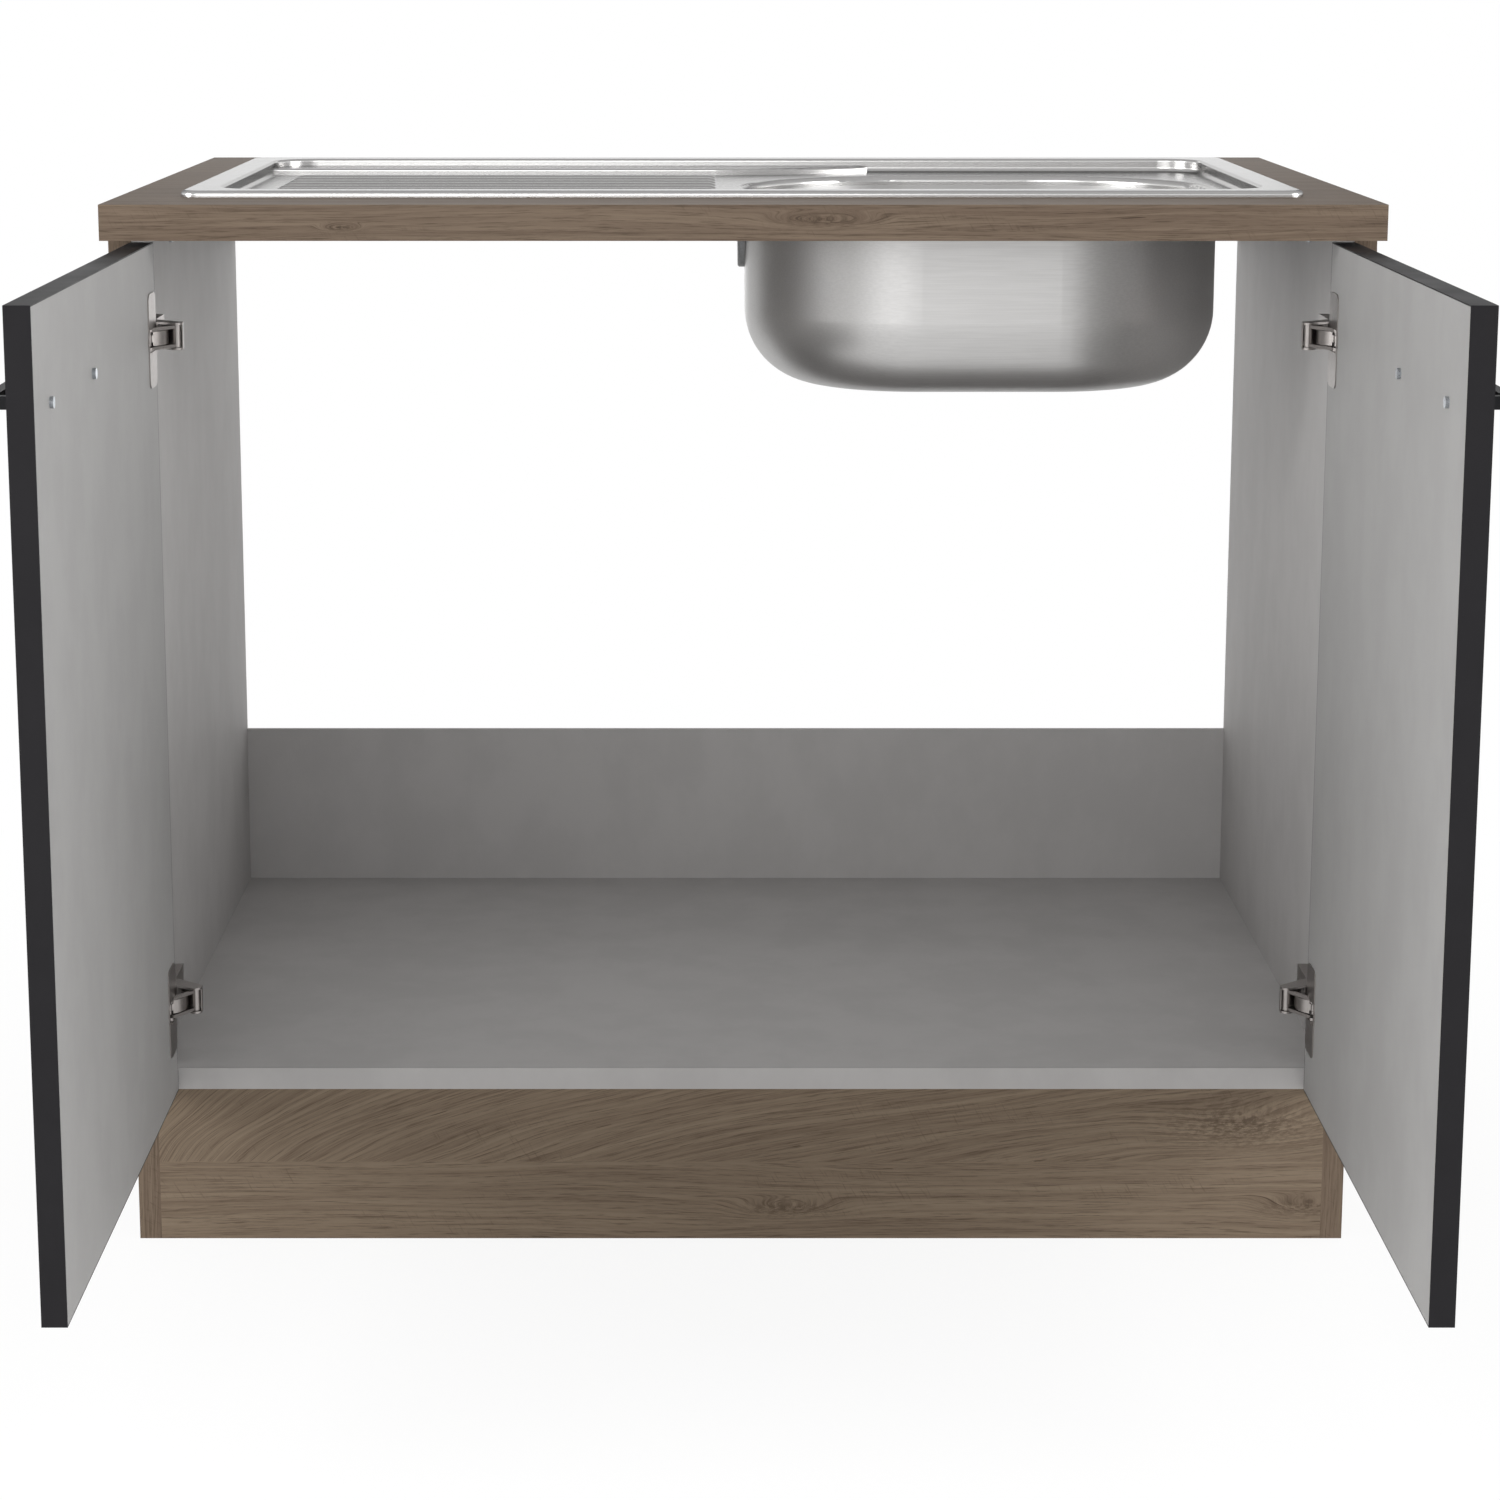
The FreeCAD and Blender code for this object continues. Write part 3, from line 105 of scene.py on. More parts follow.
@dataclass(frozen=True)
class Pattern:
    """Shader sockets of one material while it is put together."""

    tree: bpy.types.NodeTree

    def place(self) -> Socket:
        """Object coordinates, in metres."""
        return add(self.tree, "TexCoord").outputs["Object"]

    def math(self, operation: str, a: Union[Socket, float], b: Union[Socket, float] = 0.0) -> Socket:
        """Result of one sum on two values.

        Args:
            operation: Name of the sum, such as "ADD".
            a: First value or socket.
            b: Second value or socket.

        Returns:
            The result's socket.
        """
        return add(self.tree, "Math", {0: a, 1: b}, operation=operation).outputs[0]

    def axes(self, vector: Socket, axis: Axis) -> tuple[Socket, Socket, Socket]:
        """Splits a place into its part along an axis and the two across it.

        Args:
            vector: Place to split.
            axis: Direction that comes first.

        Returns:
            Sockets of the part along the axis and of the two across it.
        """
        split = add(self.tree, "SeparateXYZ", {0: vector})
        first, second, third = axis.value
        return split.outputs[first], split.outputs[second], split.outputs[third]

    def join(self, a: Union[Socket, float], b: Union[Socket, float], c: Union[Socket, float]) -> Socket:
        """Joins three values into a place."""
        return add(self.tree, "CombineXYZ", {0: a, 1: b, 2: c}).outputs[0]

    def scaled(self, vector: Socket, sizes: tuple[float, float, float]) -> Socket:
        """Measures a place in units of a pattern's size.

        Args:
            vector: Place, in metres.
            sizes: Size of the pattern along each axis, in metres.

        Returns:
            The scaled place's socket.
        """
        scale = tuple(1 / size for size in sizes)
        return add(self.tree, "Mapping", {"Vector": vector, "Scale": scale}).outputs[0]

    def noise(self, vector: Socket, detail: float = 2.0, rough: float = 0.5) -> Socket:
        """Soft noise with features one unit across.

        Args:
            vector: Place, in units of the noise's size.
            detail: Octaves.
            rough: Share that each finer octave keeps.

        Returns:
            The noise's value, about 0.5 in the middle.
        """
        inputs = {"Vector": vector, "Scale": 1.0, "Detail": detail, "Roughness": rough}
        return add(self.tree, "TexNoise", inputs).outputs[0]

    def step(self, value: Socket, low: float, high: float, start: float = 0.0, end: float = 1.0) -> Socket:
        """Smooth rise of a value between two limits.

        Args:
            value: Value that runs through the limits.
            low: Value where the rise starts.
            high: Value where it ends.
            start: Result below the rise.
            end: Result above it.

        Returns:
            The result's socket.
        """
        inputs = {"Value": value, "From Min": low, "From Max": high, "To Min": start, "To Max": end}
        return add(self.tree, "MapRange", inputs, interpolation_type="SMOOTHSTEP").outputs[0]

    def mix(self, factor: Union[Socket, float], a: Any, b: Any, blend: str = "MIX") -> Socket:
        """Mixes two colours.

        Args:
            factor: Share of the second colour.
            a: First colour or its socket.
            b: Second colour or its socket.
            blend: Way of mixing.

        Returns:
            The mixed colour's socket.
        """
        return add(self.tree, "Mix", {0: factor, 6: a, 7: b}, data_type="RGBA", blend_type=blend).outputs[2]

    def bump(self, height: Socket, distance: float, strength: float = 1.0) -> Socket:
        """Surface direction over a height pattern.

        Args:
            height: Height, 0 to 1.
            distance: Real height of 1, in metres.
            strength: Share of the effect.

        Returns:
            The direction's socket.
        """
        inputs = {"Height": height, "Distance": distance, "Strength": strength}
        return add(self.tree, "Bump", inputs).outputs[0]


@dataclass(frozen=True)
class Finish:
    """A finish of one real material; subclasses draw its pattern."""

    name: str

    def draw(self, pattern: Pattern, shader: bpy.types.Node) -> None:
        """Sets and links the shader's sockets."""
        raise NotImplementedError

    def material(self) -> bpy.types.Material:
        """Makes the material, or gives the one made before.

        Returns:
            The finish's material.
        """
        if self.name in MADE:
            return MADE[self.name]
        made = bpy.data.materials.new(self.name)
        MADE[self.name] = made
        made.use_nodes = True
        tree = made.node_tree
        shader = tree.nodes["Principled BSDF"]
        self.draw(Pattern(tree), shader)
        return made

    def link(self, shader: bpy.types.Node, **sockets: Any) -> None:
        """Sets shader inputs from values or sockets.

        Args:
            shader: The material's shader node.
            **sockets: Input names with spaces as underscores, and what each gets.
        """
        for key, value in sockets.items():
            entry = shader.inputs[key.replace("_", " ")]
            if isinstance(value, Socket):
                shader.id_data.links.new(value, entry)
            else:
                entry.default_value = value


# ---------------------------------------------------------------- finishes
@dataclass(frozen=True)
class Knot:
    """A knot in a wood print: its place and its size along and across the grain."""

    place: tuple[float, float, float]
    length: float = 0.035
    width: float = 0.008


@dataclass(frozen=True)
class Tones:
    """Colours of a wood print, from its palest streaks to its pores."""

    light: str = "7B6D5D"
    middle: str = "6A5C4E"
    dark: str = "55483C"
    pore: str = "40342A"


@dataclass(frozen=True)
class Oak:
    """Printed knotty oak: brown-grey, with fine grain lines, a flame figure, saw marks and knots.

    The print shows planks side by side. Above flame_from the growth rings leave the grain in a
    flame that starts at flame_start and flattens out along the plank. A size of three numbers
    runs along the grain, into the board and across the grain.
    """

    grain: Axis
    knots: tuple[Knot, ...] = ()
    plank_width: float = 0.067
    flame_from: Optional[float] = None
    flame_start: float = -0.56
    flame_height: float = 0.11
    ring: float = 0.0052
    tones: Tones = Tones()
    plank_slip: float = 3.0
    flame_root: float = 0.02
    flame_edge: float = 0.004
    flow: tuple[float, float, float] = (0.3, 0.06, 0.06)
    flow_height: float = 0.02
    late_plain: float = 0.45
    late_flame: tuple[float, float] = (0.35, 0.9)
    late_share: float = 0.3
    knot_lift: float = 0.012
    knot_reach: float = 1.6
    knot_core: float = 1.4
    streak: tuple[float, float, float] = (0.35, 0.09, 0.005)
    pore: tuple[float, float, float] = (0.03, 0.02, 0.0008)
    swirl: tuple[float, float, float] = (0.006, 0.004, 0.0025)
    crack: tuple[float, float, float] = (0.04, 0.02, 0.0018)
    mark: tuple[float, float, float] = (0.0022, 1.0, 0.016)
    mark_lean: float = 0.55
    patch: tuple[float, float, float] = (0.16, 1.0, 0.03)
    patch_depth: float = 7.0

    def ring_height(self, pattern: Pattern, along: Socket, across: Socket, wave: Socket) -> Socket:
        """Height of a place among the growth rings.

        Args:
            pattern: Tools of the material.
            along: Place along the grain.
            across: Place across the grain.
            wave: Slow waves of the grain, in metres.

        Returns:
            Socket of the height, in metres; rings lie at equal steps of it.
        """
        height = pattern.math("ADD", across, wave)
        if self.flame_from is None:
            return height
        past_start = pattern.math("SUBTRACT", along, self.flame_start)
        reach = pattern.math("MAXIMUM", past_start, self.flame_root)
        rise = pattern.math("MULTIPLY", pattern.math("LOGARITHM", reach, math.e), self.flame_height)
        inside = pattern.math("GREATER_THAN", across, self.flame_from)
        return pattern.math("SUBTRACT", height, pattern.math("MULTIPLY", rise, inside))

    def spots(self, pattern: Pattern, place: Socket) -> Socket:
        """Share of knot at a place: 1 in a knot's middle, 0 away from all of them.

        Args:
            pattern: Tools of the material.
            place: Object coordinates.

        Returns:
            The share's socket.
        """
        shares = []
        for knot in self.knots:
            offset = add(pattern.tree, "VectorMath", {0: place, 1: knot.place}, operation="SUBTRACT")
            sizes = [knot.width] * 3
            sizes[self.grain.value[0]] = knot.length
            scaled = pattern.scaled(offset.outputs[0], tuple(sizes))
            near = add(pattern.tree, "VectorMath", {0: scaled}, operation="LENGTH").outputs["Value"]
            shares.append(pattern.step(near, 0.0, self.knot_reach, start=1.0, end=0.0))
        total = shares[0]
        for share in shares[1:]:
            total = pattern.math("MAXIMUM", total, share)
        return total

    def marks(self, pattern: Pattern, along: Socket, across: Socket) -> Socket:
        """Faint slanting saw marks and rays, in patches.

        Args:
            pattern: Tools of the material.
            along: Place along the grain.
            across: Place across the grain.

        Returns:
            Socket of the marks' strength.
        """
        lean = pattern.math("MULTIPLY", across, self.mark_lean)
        slanted = pattern.join(pattern.math("ADD", along, lean), 0.0, across)
        lines = pattern.noise(pattern.scaled(slanted, self.mark), detail=2.0, rough=0.6)
        lines = pattern.step(lines, low=0.56, high=0.7)
        spread = pattern.join(along, self.patch_depth, across)
        patches = pattern.noise(pattern.scaled(spread, self.patch), detail=1.0)
        return pattern.math("MULTIPLY", lines, pattern.step(patches, low=0.5, high=0.66, end=0.28))

    def colour(self, pattern: Pattern) -> tuple[Socket, Socket]:
        """Draws the print.

        Args:
            pattern: Tools of the material.

        Returns:
            Sockets of the colour and of the pores' height.
        """
        place = pattern.place()
        along, depth, across = pattern.axes(place, self.grain)
        plank = pattern.math("FLOOR", pattern.math("DIVIDE", across, self.plank_width))
        chance = add(pattern.tree, "TexWhiteNoise", {"W": plank}, noise_dimensions="1D").outputs[0]
        run = pattern.math("ADD", along, pattern.math("MULTIPLY", chance, self.plank_slip))
        flow = pattern.noise(pattern.scaled(pattern.join(run, depth, across), self.flow), detail=1.0)
        wave = pattern.math("MULTIPLY", pattern.math("SUBTRACT", flow, 0.5), self.flow_height)
        figure = self.ring_height(pattern, along, across, wave)
        spot = self.spots(pattern, place) if self.knots else None
        if spot:
            figure = pattern.math("ADD", figure, pattern.math("MULTIPLY", spot, self.knot_lift))
        grained = pattern.join(run, depth, figure)
        # Tone runs in long streaks about 5 mm wide.
        streak = pattern.noise(pattern.scaled(grained, self.streak), detail=3.0, rough=0.6)
        tone = pattern.step(streak, *SOFT)
        colour = pattern.mix(tone, linear(self.tones.middle), linear(self.tones.light))
        # Growth rings about 5 mm apart: each fades from early to late wood, then stops at a thin line.
        ring = pattern.math("FRACT", pattern.math("DIVIDE", figure, self.ring))
        strong: Union[Socket, float] = self.late_plain
        if self.flame_from is not None:
            flame_full = self.flame_from + self.flame_edge
            strong = pattern.step(across, self.flame_from, flame_full, *self.late_flame)
        late = pattern.math("MULTIPLY", pattern.step(ring, low=0.35, high=0.95), strong)
        late = pattern.math("MULTIPLY", late, self.late_share)
        colour = pattern.mix(late, colour, linear(self.tones.dark))
        # Real pores are 0.3 mm wide; drawn from noise 0.8 mm wide and 30 mm long, so that they show.
        grain = pattern.noise(pattern.scaled(grained, self.pore), detail=3.0, rough=0.7)
        pores = pattern.step(grain, low=0.5, high=0.7, end=0.62)
        colour = pattern.mix(pores, colour, linear(self.tones.pore))
        between = pattern.step(grain, low=0.48, high=0.3, end=0.5)
        colour = pattern.mix(between, colour, linear(self.tones.light))
        colour = pattern.mix(self.marks(pattern, run, across), colour, linear(self.tones.pore))
        if spot:
            curled = pattern.scaled(pattern.join(along, depth, figure), self.swirl)
            swirl = pattern.step(pattern.noise(curled, detail=3.0, rough=0.7), low=0.4, high=0.62, end=0.7)
            share = pattern.math("MULTIPLY", pattern.math("POWER", spot, self.knot_core), swirl)
            colour = pattern.mix(share, colour, linear(self.tones.pore))
        # Short drying cracks, thin and rare.
        cracks = pattern.noise(pattern.scaled(grained, self.crack), detail=1.0)
        cracks = pattern.step(cracks, low=0.77, high=0.8, end=0.8)
        colour = pattern.mix(cracks, colour, linear(self.tones.pore))
        return colour, pattern.math("SUBTRACT", 1.0, pores)


@dataclass(frozen=True)
class Chipboard:
    """Pressed wood chips, sawn: tan flakes of 1 to 3 mm in every direction."""

    pale: str = "B79B74"
    brown: str = "8A6B47"
    chip: float = 0.0028
    flatness: float = 0.6
    tint_share: float = 0.25

    def colour(self, pattern: Pattern) -> Socket:
        """Draws the flakes.

        Args:
            pattern: Tools of the material.

        Returns:
            Socket of the colour.
        """
        place = pattern.scaled(pattern.place(), (self.chip, self.chip, self.chip * self.flatness))
        cells = add(pattern.tree, "TexVoronoi", {"Vector": place, "Scale": 1.0})
        share = pattern.math("MULTIPLY", cells.outputs["Distance"], 0.9)
        chips = pattern.mix(share, linear(self.pale), linear(self.brown))
        return pattern.mix(self.tint_share, chips, cells.outputs["Color"], "SOFT_LIGHT")


@dataclass(frozen=True)
class Melamine:
    """Grey melamine paper pressed on board: matt, with a faint pearl texture."""

    tone: str = "B5B3B2"
    tint: str = "B0AEAD"
    cloud: tuple[float, float, float] = (0.06, 0.06, 0.09)
    pearl_width: float = 0.0012

    def colour(self, pattern: Pattern) -> Socket:
        """Draws the faint clouds of the print.

        Args:
            pattern: Tools of the material.

        Returns:
            Socket of the colour.
        """
        clouds = pattern.noise(pattern.scaled(pattern.place(), self.cloud), detail=4.0, rough=0.6)
        return pattern.mix(pattern.step(clouds, *FIRM), linear(self.tone), linear(self.tint))

    def pearl(self, pattern: Pattern) -> Socket:
        """Height of the pressed texture; real pearls are 0.4 mm wide, drawn 1.2 mm so that they show."""
        return pattern.noise(pattern.scaled(pattern.place(), (self.pearl_width,) * 3), detail=1.0)


@dataclass(frozen=True)
class FacedBoard(Finish):
    """Chipboard with a grey melamine face and another face or an oak print on the other side.

    The faces lie at two limits along one axis; what lies between them is sawn chipboard.
    """

    axis: Axis = Axis.X
    inner: float = 0.0
    outer: float = 0.0
    print_oak: Optional[Oak] = None
    grey: Melamine = Melamine()
    outer_tone: str = "212022"
    skin: float = 0.0003
    core_rough: float = 0.85
    face_rough: float = 0.6
    relief_depth: float = 0.00003
    relief_share: float = 0.5

    def draw(self, pattern: Pattern, shader: bpy.types.Node) -> None:
        """Mixes the faces and the core by the place across the board.

        Args:
            pattern: Tools of the material.
            shader: The material's shader node.
        """
        across = pattern.math("ABSOLUTE", pattern.axes(pattern.place(), self.axis)[0])
        low, high = sorted((self.inner, self.outer))
        at_low = pattern.math("LESS_THAN", across, low + self.skin)
        at_high = pattern.math("GREATER_THAN", across, high - self.skin)
        at_inner, at_outer = (at_low, at_high) if self.inner < self.outer else (at_high, at_low)
        if self.print_oak:
            outer_colour, relief = self.print_oak.colour(pattern)
        else:
            outer_colour, relief = linear(self.outer_tone), self.grey.pearl(pattern)
        colour = pattern.mix(at_inner, Chipboard().colour(pattern), self.grey.colour(pattern))
        colour = pattern.mix(at_outer, colour, outer_colour)
        faces = pattern.math("ADD", at_inner, at_outer)
        rough = pattern.step(faces, 0.0, 1.0, self.core_rough, self.face_rough)
        relief = pattern.mix(at_outer, self.grey.pearl(pattern), relief)
        normal = pattern.bump(relief, self.relief_depth, self.relief_share)
        self.link(shader, Base_Color=colour, Roughness=rough, Specular_IOR_Level=MATT, Normal=normal)


@dataclass(frozen=True)
class OakDecor(Finish):
    """Melamine paper or edge band printed as knotty oak: matt, pores pressed in a little."""

    oak: Oak = Oak(Axis.X)
    rough: float = 0.62
    pore_depth: float = 0.00008
    pore_share: float = 0.6

    def draw(self, pattern: Pattern, shader: bpy.types.Node) -> None:
        """Prints the oak and presses its pores.

        Args:
            pattern: Tools of the material.
            shader: The material's shader node.
        """
        colour, height = self.oak.colour(pattern)
        normal = pattern.bump(height, self.pore_depth, self.pore_share)
        self.link(shader, Base_Color=colour, Roughness=self.rough, Specular_IOR_Level=MATT, Normal=normal)


@dataclass(frozen=True)
class GreyBoard(Finish):
    """Grey melamine-faced board or edge band."""

    tone: Melamine = Melamine()
    rough: float = 0.6
    pearl_depth: float = 0.00003
    pearl_share: float = 0.5

    def draw(self, pattern: Pattern, shader: bpy.types.Node) -> None:
        """Prints the grey and presses the pearl texture.

        Args:
            pattern: Tools of the material.
            shader: The material's shader node.
        """
        normal = pattern.bump(self.tone.pearl(pattern), self.pearl_depth, self.pearl_share)
        colour = self.tone.colour(pattern)
        self.link(shader, Base_Color=colour, Roughness=self.rough, Specular_IOR_Level=MATT, Normal=normal)


@dataclass(frozen=True)
class Lacquer(Finish):
    """Anthracite colour, lacquered or powder-coated: deep grey, silky, with a fine orange peel."""

    tone: str = "232224"
    tint: str = "1E1D1F"
    rough: float = 0.5
    peel: float = 0.0015
    depth: float = 0.00003
    cloud: float = 0.05
    spread: float = 0.03

    def draw(self, pattern: Pattern, shader: bpy.types.Node) -> None:
        """Draws the colour's faint clouds and the peel.

        Args:
            pattern: Tools of the material.
            shader: The material's shader node.
        """
        place = pattern.place()
        clouds = pattern.noise(pattern.scaled(place, (self.cloud,) * 3), detail=3.0)
        peel = pattern.noise(pattern.scaled(place, (self.peel,) * 3), detail=1.0)
        colour = pattern.mix(clouds, linear(self.tone), linear(self.tint))
        rough = pattern.step(clouds, *SOFT, self.rough - self.spread, self.rough + self.spread)
        normal = pattern.bump(peel, self.depth, strength=0.5)
        self.link(shader, Base_Color=colour, Roughness=rough, Specular_IOR_Level=MATT, Normal=normal)


@dataclass(frozen=True)
class Steel(Finish):
    """Sheet or turned metal, brushed along one axis or bright: fine lines blur what it mirrors."""

    tone: str = "DEDDDC"
    tint: str = "D7D6D5"
    brushing: Axis = Axis.X
    line: float = 0.0011
    length: float = 0.06
    rough: float = 0.25
    spread: float = 0.015
    edge_tone: float = 0.28

    def draw(self, pattern: Pattern, shader: bpy.types.Node) -> None:
        """Draws the brushing; real lines are 0.05 mm apart, drawn coarser so that they show.

        Args:
            pattern: Tools of the material.
            shader: The material's shader node.
        """
        along, second, third = pattern.axes(pattern.place(), self.brushing)
        place = pattern.scaled(pattern.join(along, second, third), (self.length, self.line, self.line))
        lines = pattern.noise(place, detail=2.0, rough=0.6)
        colour = pattern.mix(pattern.step(lines, *SOFT), linear(self.tone), linear(self.tint))
        rough = pattern.step(lines, *SOFT, self.rough - self.spread, self.rough + self.spread)
        edge = (self.edge_tone,) * 3 + (1.0,)
        self.link(shader, Base_Color=colour, Metallic=1.0, Roughness=rough, Specular_Tint=edge)


@dataclass(frozen=True)
class Moulded(Finish):
    """Moulded plastic, foam or turned wood: one tone with a grain of a given size."""

    tone: str = "8E8F90"
    tint: str = "858687"
    grain: tuple[float, float, float] = (0.0012, 0.0012, 0.0012)
    rough: float = 0.5
    depth: float = 0.00004

    def draw(self, pattern: Pattern, shader: bpy.types.Node) -> None:
        """Draws the grain.

        Args:
            pattern: Tools of the material.
            shader: The material's shader node.
        """
        grain = pattern.noise(pattern.scaled(pattern.place(), self.grain), detail=2.0)
        colour = pattern.mix(pattern.step(grain, *FIRM), linear(self.tone), linear(self.tint))
        normal = pattern.bump(grain, self.depth, strength=0.6)
        self.link(shader, Base_Color=colour, Roughness=self.rough, Normal=normal)


PLINTH_KNOTS = (
    Knot((0.040, -0.009, 0.026), 0.045, 0.009),
    Knot((0.470, -0.009, 0.028), 0.040, 0.010),
    Knot((0.415, -0.009, 0.098), 0.075, 0.022),
)
WORKTOP_KNOTS = (
    Knot((-0.312, -0.049, 0.842), 0.016, 0.0035),
    Knot((0.062, -0.049, 0.848), 0.040, 0.006),
)
# A darker copy of the same oak print for the worktop, its edging and the side panels: painted shade, since
# these catch more light than the plinth, which keeps the lighter tones.
SHADED_OAK_TONES = Tones("716355", "615347", "4E4136", "3A2F25")
# Oak-printed melamine: dry and brown-grey, with a figure that reads as wood from a step away.
OAK_LEVEL = OakDecor("oak_decor_level", Oak(Axis.X, PLINTH_KNOTS, flame_from=0.067))
OAK_WORKTOP = OakDecor("oak_decor_worktop_edge",
                       Oak(Axis.X, WORKTOP_KNOTS, plank_width=0.14, tones=SHADED_OAK_TONES))
OAK_UPRIGHT = OakDecor("oak_decor_upright", Oak(Axis.Z, plank_width=0.12, tones=SHADED_OAK_TONES))
# Pressed stainless steel, brushed: bright, with soft streaked reflections.
BRUSHED_STEEL = Steel("stainless_steel_brushed")
# The same steel, drawn and left satin: duller and more even.
SATIN_STEEL = Steel("stainless_steel_satin", "C9C8C7", "C3C2C1", length=0.05, rough=0.4, edge_tone=0.9)
# Nickel-plated pressings: warm grey, half bright.
NICKEL = Steel("nickel_plated_steel", "A8A3A0", "9E9996", Axis.Z, line=0.0006, length=0.004,
               rough=0.36, spread=0.04, edge_tone=0.6)
# Zinc-plated fixings: cool, pale and even.
ZINC = Steel("zinc_plated_steel", "B9BDC2", "A9AEB4", line=0.0012, length=0.0012,
             rough=0.32, spread=0.06, edge_tone=0.8)
# Edge band in the doors' colour: near black and silky.
ANTHRACITE = Lacquer("anthracite_edge_band")
# Powder coat: near black, with a fine orange peel.
HANDLE_COAT = Lacquer("powder_coated_anthracite", "212123", "1D1D1F", rough=0.45, peel=0.0009,
                      depth=0.00004)
# Melamine-faced board and its edge band: pale grey and matt, the band a shade darker.
GREY_MELAMINE = GreyBoard("grey_melamine")
GREY_EDGING = GreyBoard("grey_edge_band", Melamine("A9A7A6", "A4A2A1"))
# Moulded plastic: mid grey and evenly dull.
GREY_PLASTIC = Moulded("moulded_grey_plastic")
# Foam: dark, with no shine.
FOAM = Moulded("foam_strip", "3B3C3E", "2F3032", (0.0016,) * 3, rough=0.9, depth=0.0003)
# Turned beech: warm tan, with long fibres.
BEECH = Moulded("turned_beech", "C9A57A", "B78F62", (0.006, 0.0006, 0.0006), rough=0.6, depth=0.00005)


def dress(finish: Finish, names: Iterable[str]) -> None:
    """Gives a finish to CAD pieces.

    Args:
        finish: The finish.
        names: Names of the CAD nodes.
    """
    for name in names:
        mesh = NODES[name].data
        mesh.materials.clear()
        mesh.materials.append(finish.material())
        LOG.info("%s: %s", name, finish.name)


# ---------------------------------------------------------------- sub-assemblies
@dataclass
class Carcass:
    """Side panels, shelf, plinth, rear strip and rail, with their fixings."""

    inner_x: float = 482 * MM
    outer_x: float = 500 * MM

    def build(self) -> None:
        """Dresses the carcass."""
        # The outer oak face takes the darker copy of the print: painted shade.
        side = FacedBoard("board_grey_inside_oak_outside", Axis.X, self.inner_x, self.outer_x,
                          Oak(Axis.Z_SIDE, plank_width=0.12, tones=SHADED_OAK_TONES))
        dress(side, ("left_side_panel", "right_side_panel"))
        dress(OAK_UPRIGHT, ("left_side_edging", "right_side_edging"))
        dress(OAK_LEVEL, ("plinth",))
        dress(GREY_MELAMINE, ("bottom_shelf", "rear_strip", "rear_rail"))
        dress(GREY_EDGING, ("shelf_edging",))
        dress(ZINC, ("carcass_screws", "strip_nails", "worktop_brackets", "bracket_screws"))
        dress(BEECH, ("carcass_dowels",))


@dataclass
class Worktop:
    """Laminated slab and its edging."""

    underside_z: float = 832 * MM
    top_z: float = 860 * MM

    def build(self) -> None:
        """Dresses the slab and its edging."""
        # The oak top takes the darker copy of the print: painted shade.
        slab = FacedBoard("worktop_board", Axis.Z, self.underside_z, self.top_z,
                          Oak(Axis.X_LYING, plank_width=0.14, tones=SHADED_OAK_TONES))
        dress(slab, ("worktop",))
        dress(OAK_WORKTOP, ("worktop_edging",))


@dataclass
class Sink:
    """Deck, bowl, overflow, seal and clamps."""

    def build(self) -> None:
        """Dresses the sink."""
        dress(BRUSHED_STEEL, ("sink_deck",))
        dress(SATIN_STEEL, ("sink_bowl", "overflow_rose"))
        dress(GREY_PLASTIC, ("overflow_cap",))
        dress(FOAM, ("sink_seal",))
        dress(ZINC, ("sink_clamps", "sink_clamp_screws", "overflow_screw"))


@dataclass
class Door:
    """One door with its edging, handle and hinges."""

    hand: Hand

    def named(self, pieces: Iterable[str]) -> list[str]:
        """Full names of this door's pieces."""
        return [self.hand.value + "_" + piece for piece in pieces]

    def build(self) -> None:
        """Dresses the door."""
        inner, outer = sorted(abs(corner[0]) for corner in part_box(self.hand.value + "_door_panel"))
        # The doors' grey face is a darker copy of the carcass grey: painted shade, as the open doors catch
        # more light than the side panels.
        panel = FacedBoard("board_grey_inside_anthracite_outside", Axis.X, inner, outer,
                           grey=Melamine("989796", "949392"))
        dress(panel, self.named(["door_panel"]))
        dress(ANTHRACITE, self.named(["door_edging"]))
        dress(HANDLE_COAT, self.named(["handle"]))
        dress(ZINC, self.named(["handle_screws"]))
        hinge = ("hinge_cups", "hinge_cup_pins", "hinge_cup_screws", "hinge_outer_links", "hinge_inner_links",
                 "hinge_arms", "hinge_arm_pins", "hinge_arm_screws", "hinge_plates", "hinge_plate_screws")
        dress(NICKEL, self.named(hinge))


# ---------------------------------------------------------------- studio
@dataclass(frozen=True)
class Lamp:
    """A soft box: a square area lamp that points at one place."""

    name: str
    place: tuple[float, float, float]
    aim: tuple[float, float, float]
    side: float
    watts: float

    def build(self) -> None:
        """Hangs the lamp."""
        data = bpy.data.lights.new(self.name, "AREA")
        data.shape = "SQUARE"
        data.size = self.side
        data.energy = self.watts
        lamp = bpy.data.objects.new(self.name, data)
        bpy.context.scene.collection.objects.link(lamp)
        lamp.location = self.place
        lamp.rotation_euler = (Vector(self.aim) - Vector(self.place)).to_track_quat("-Z", "Y").to_euler()


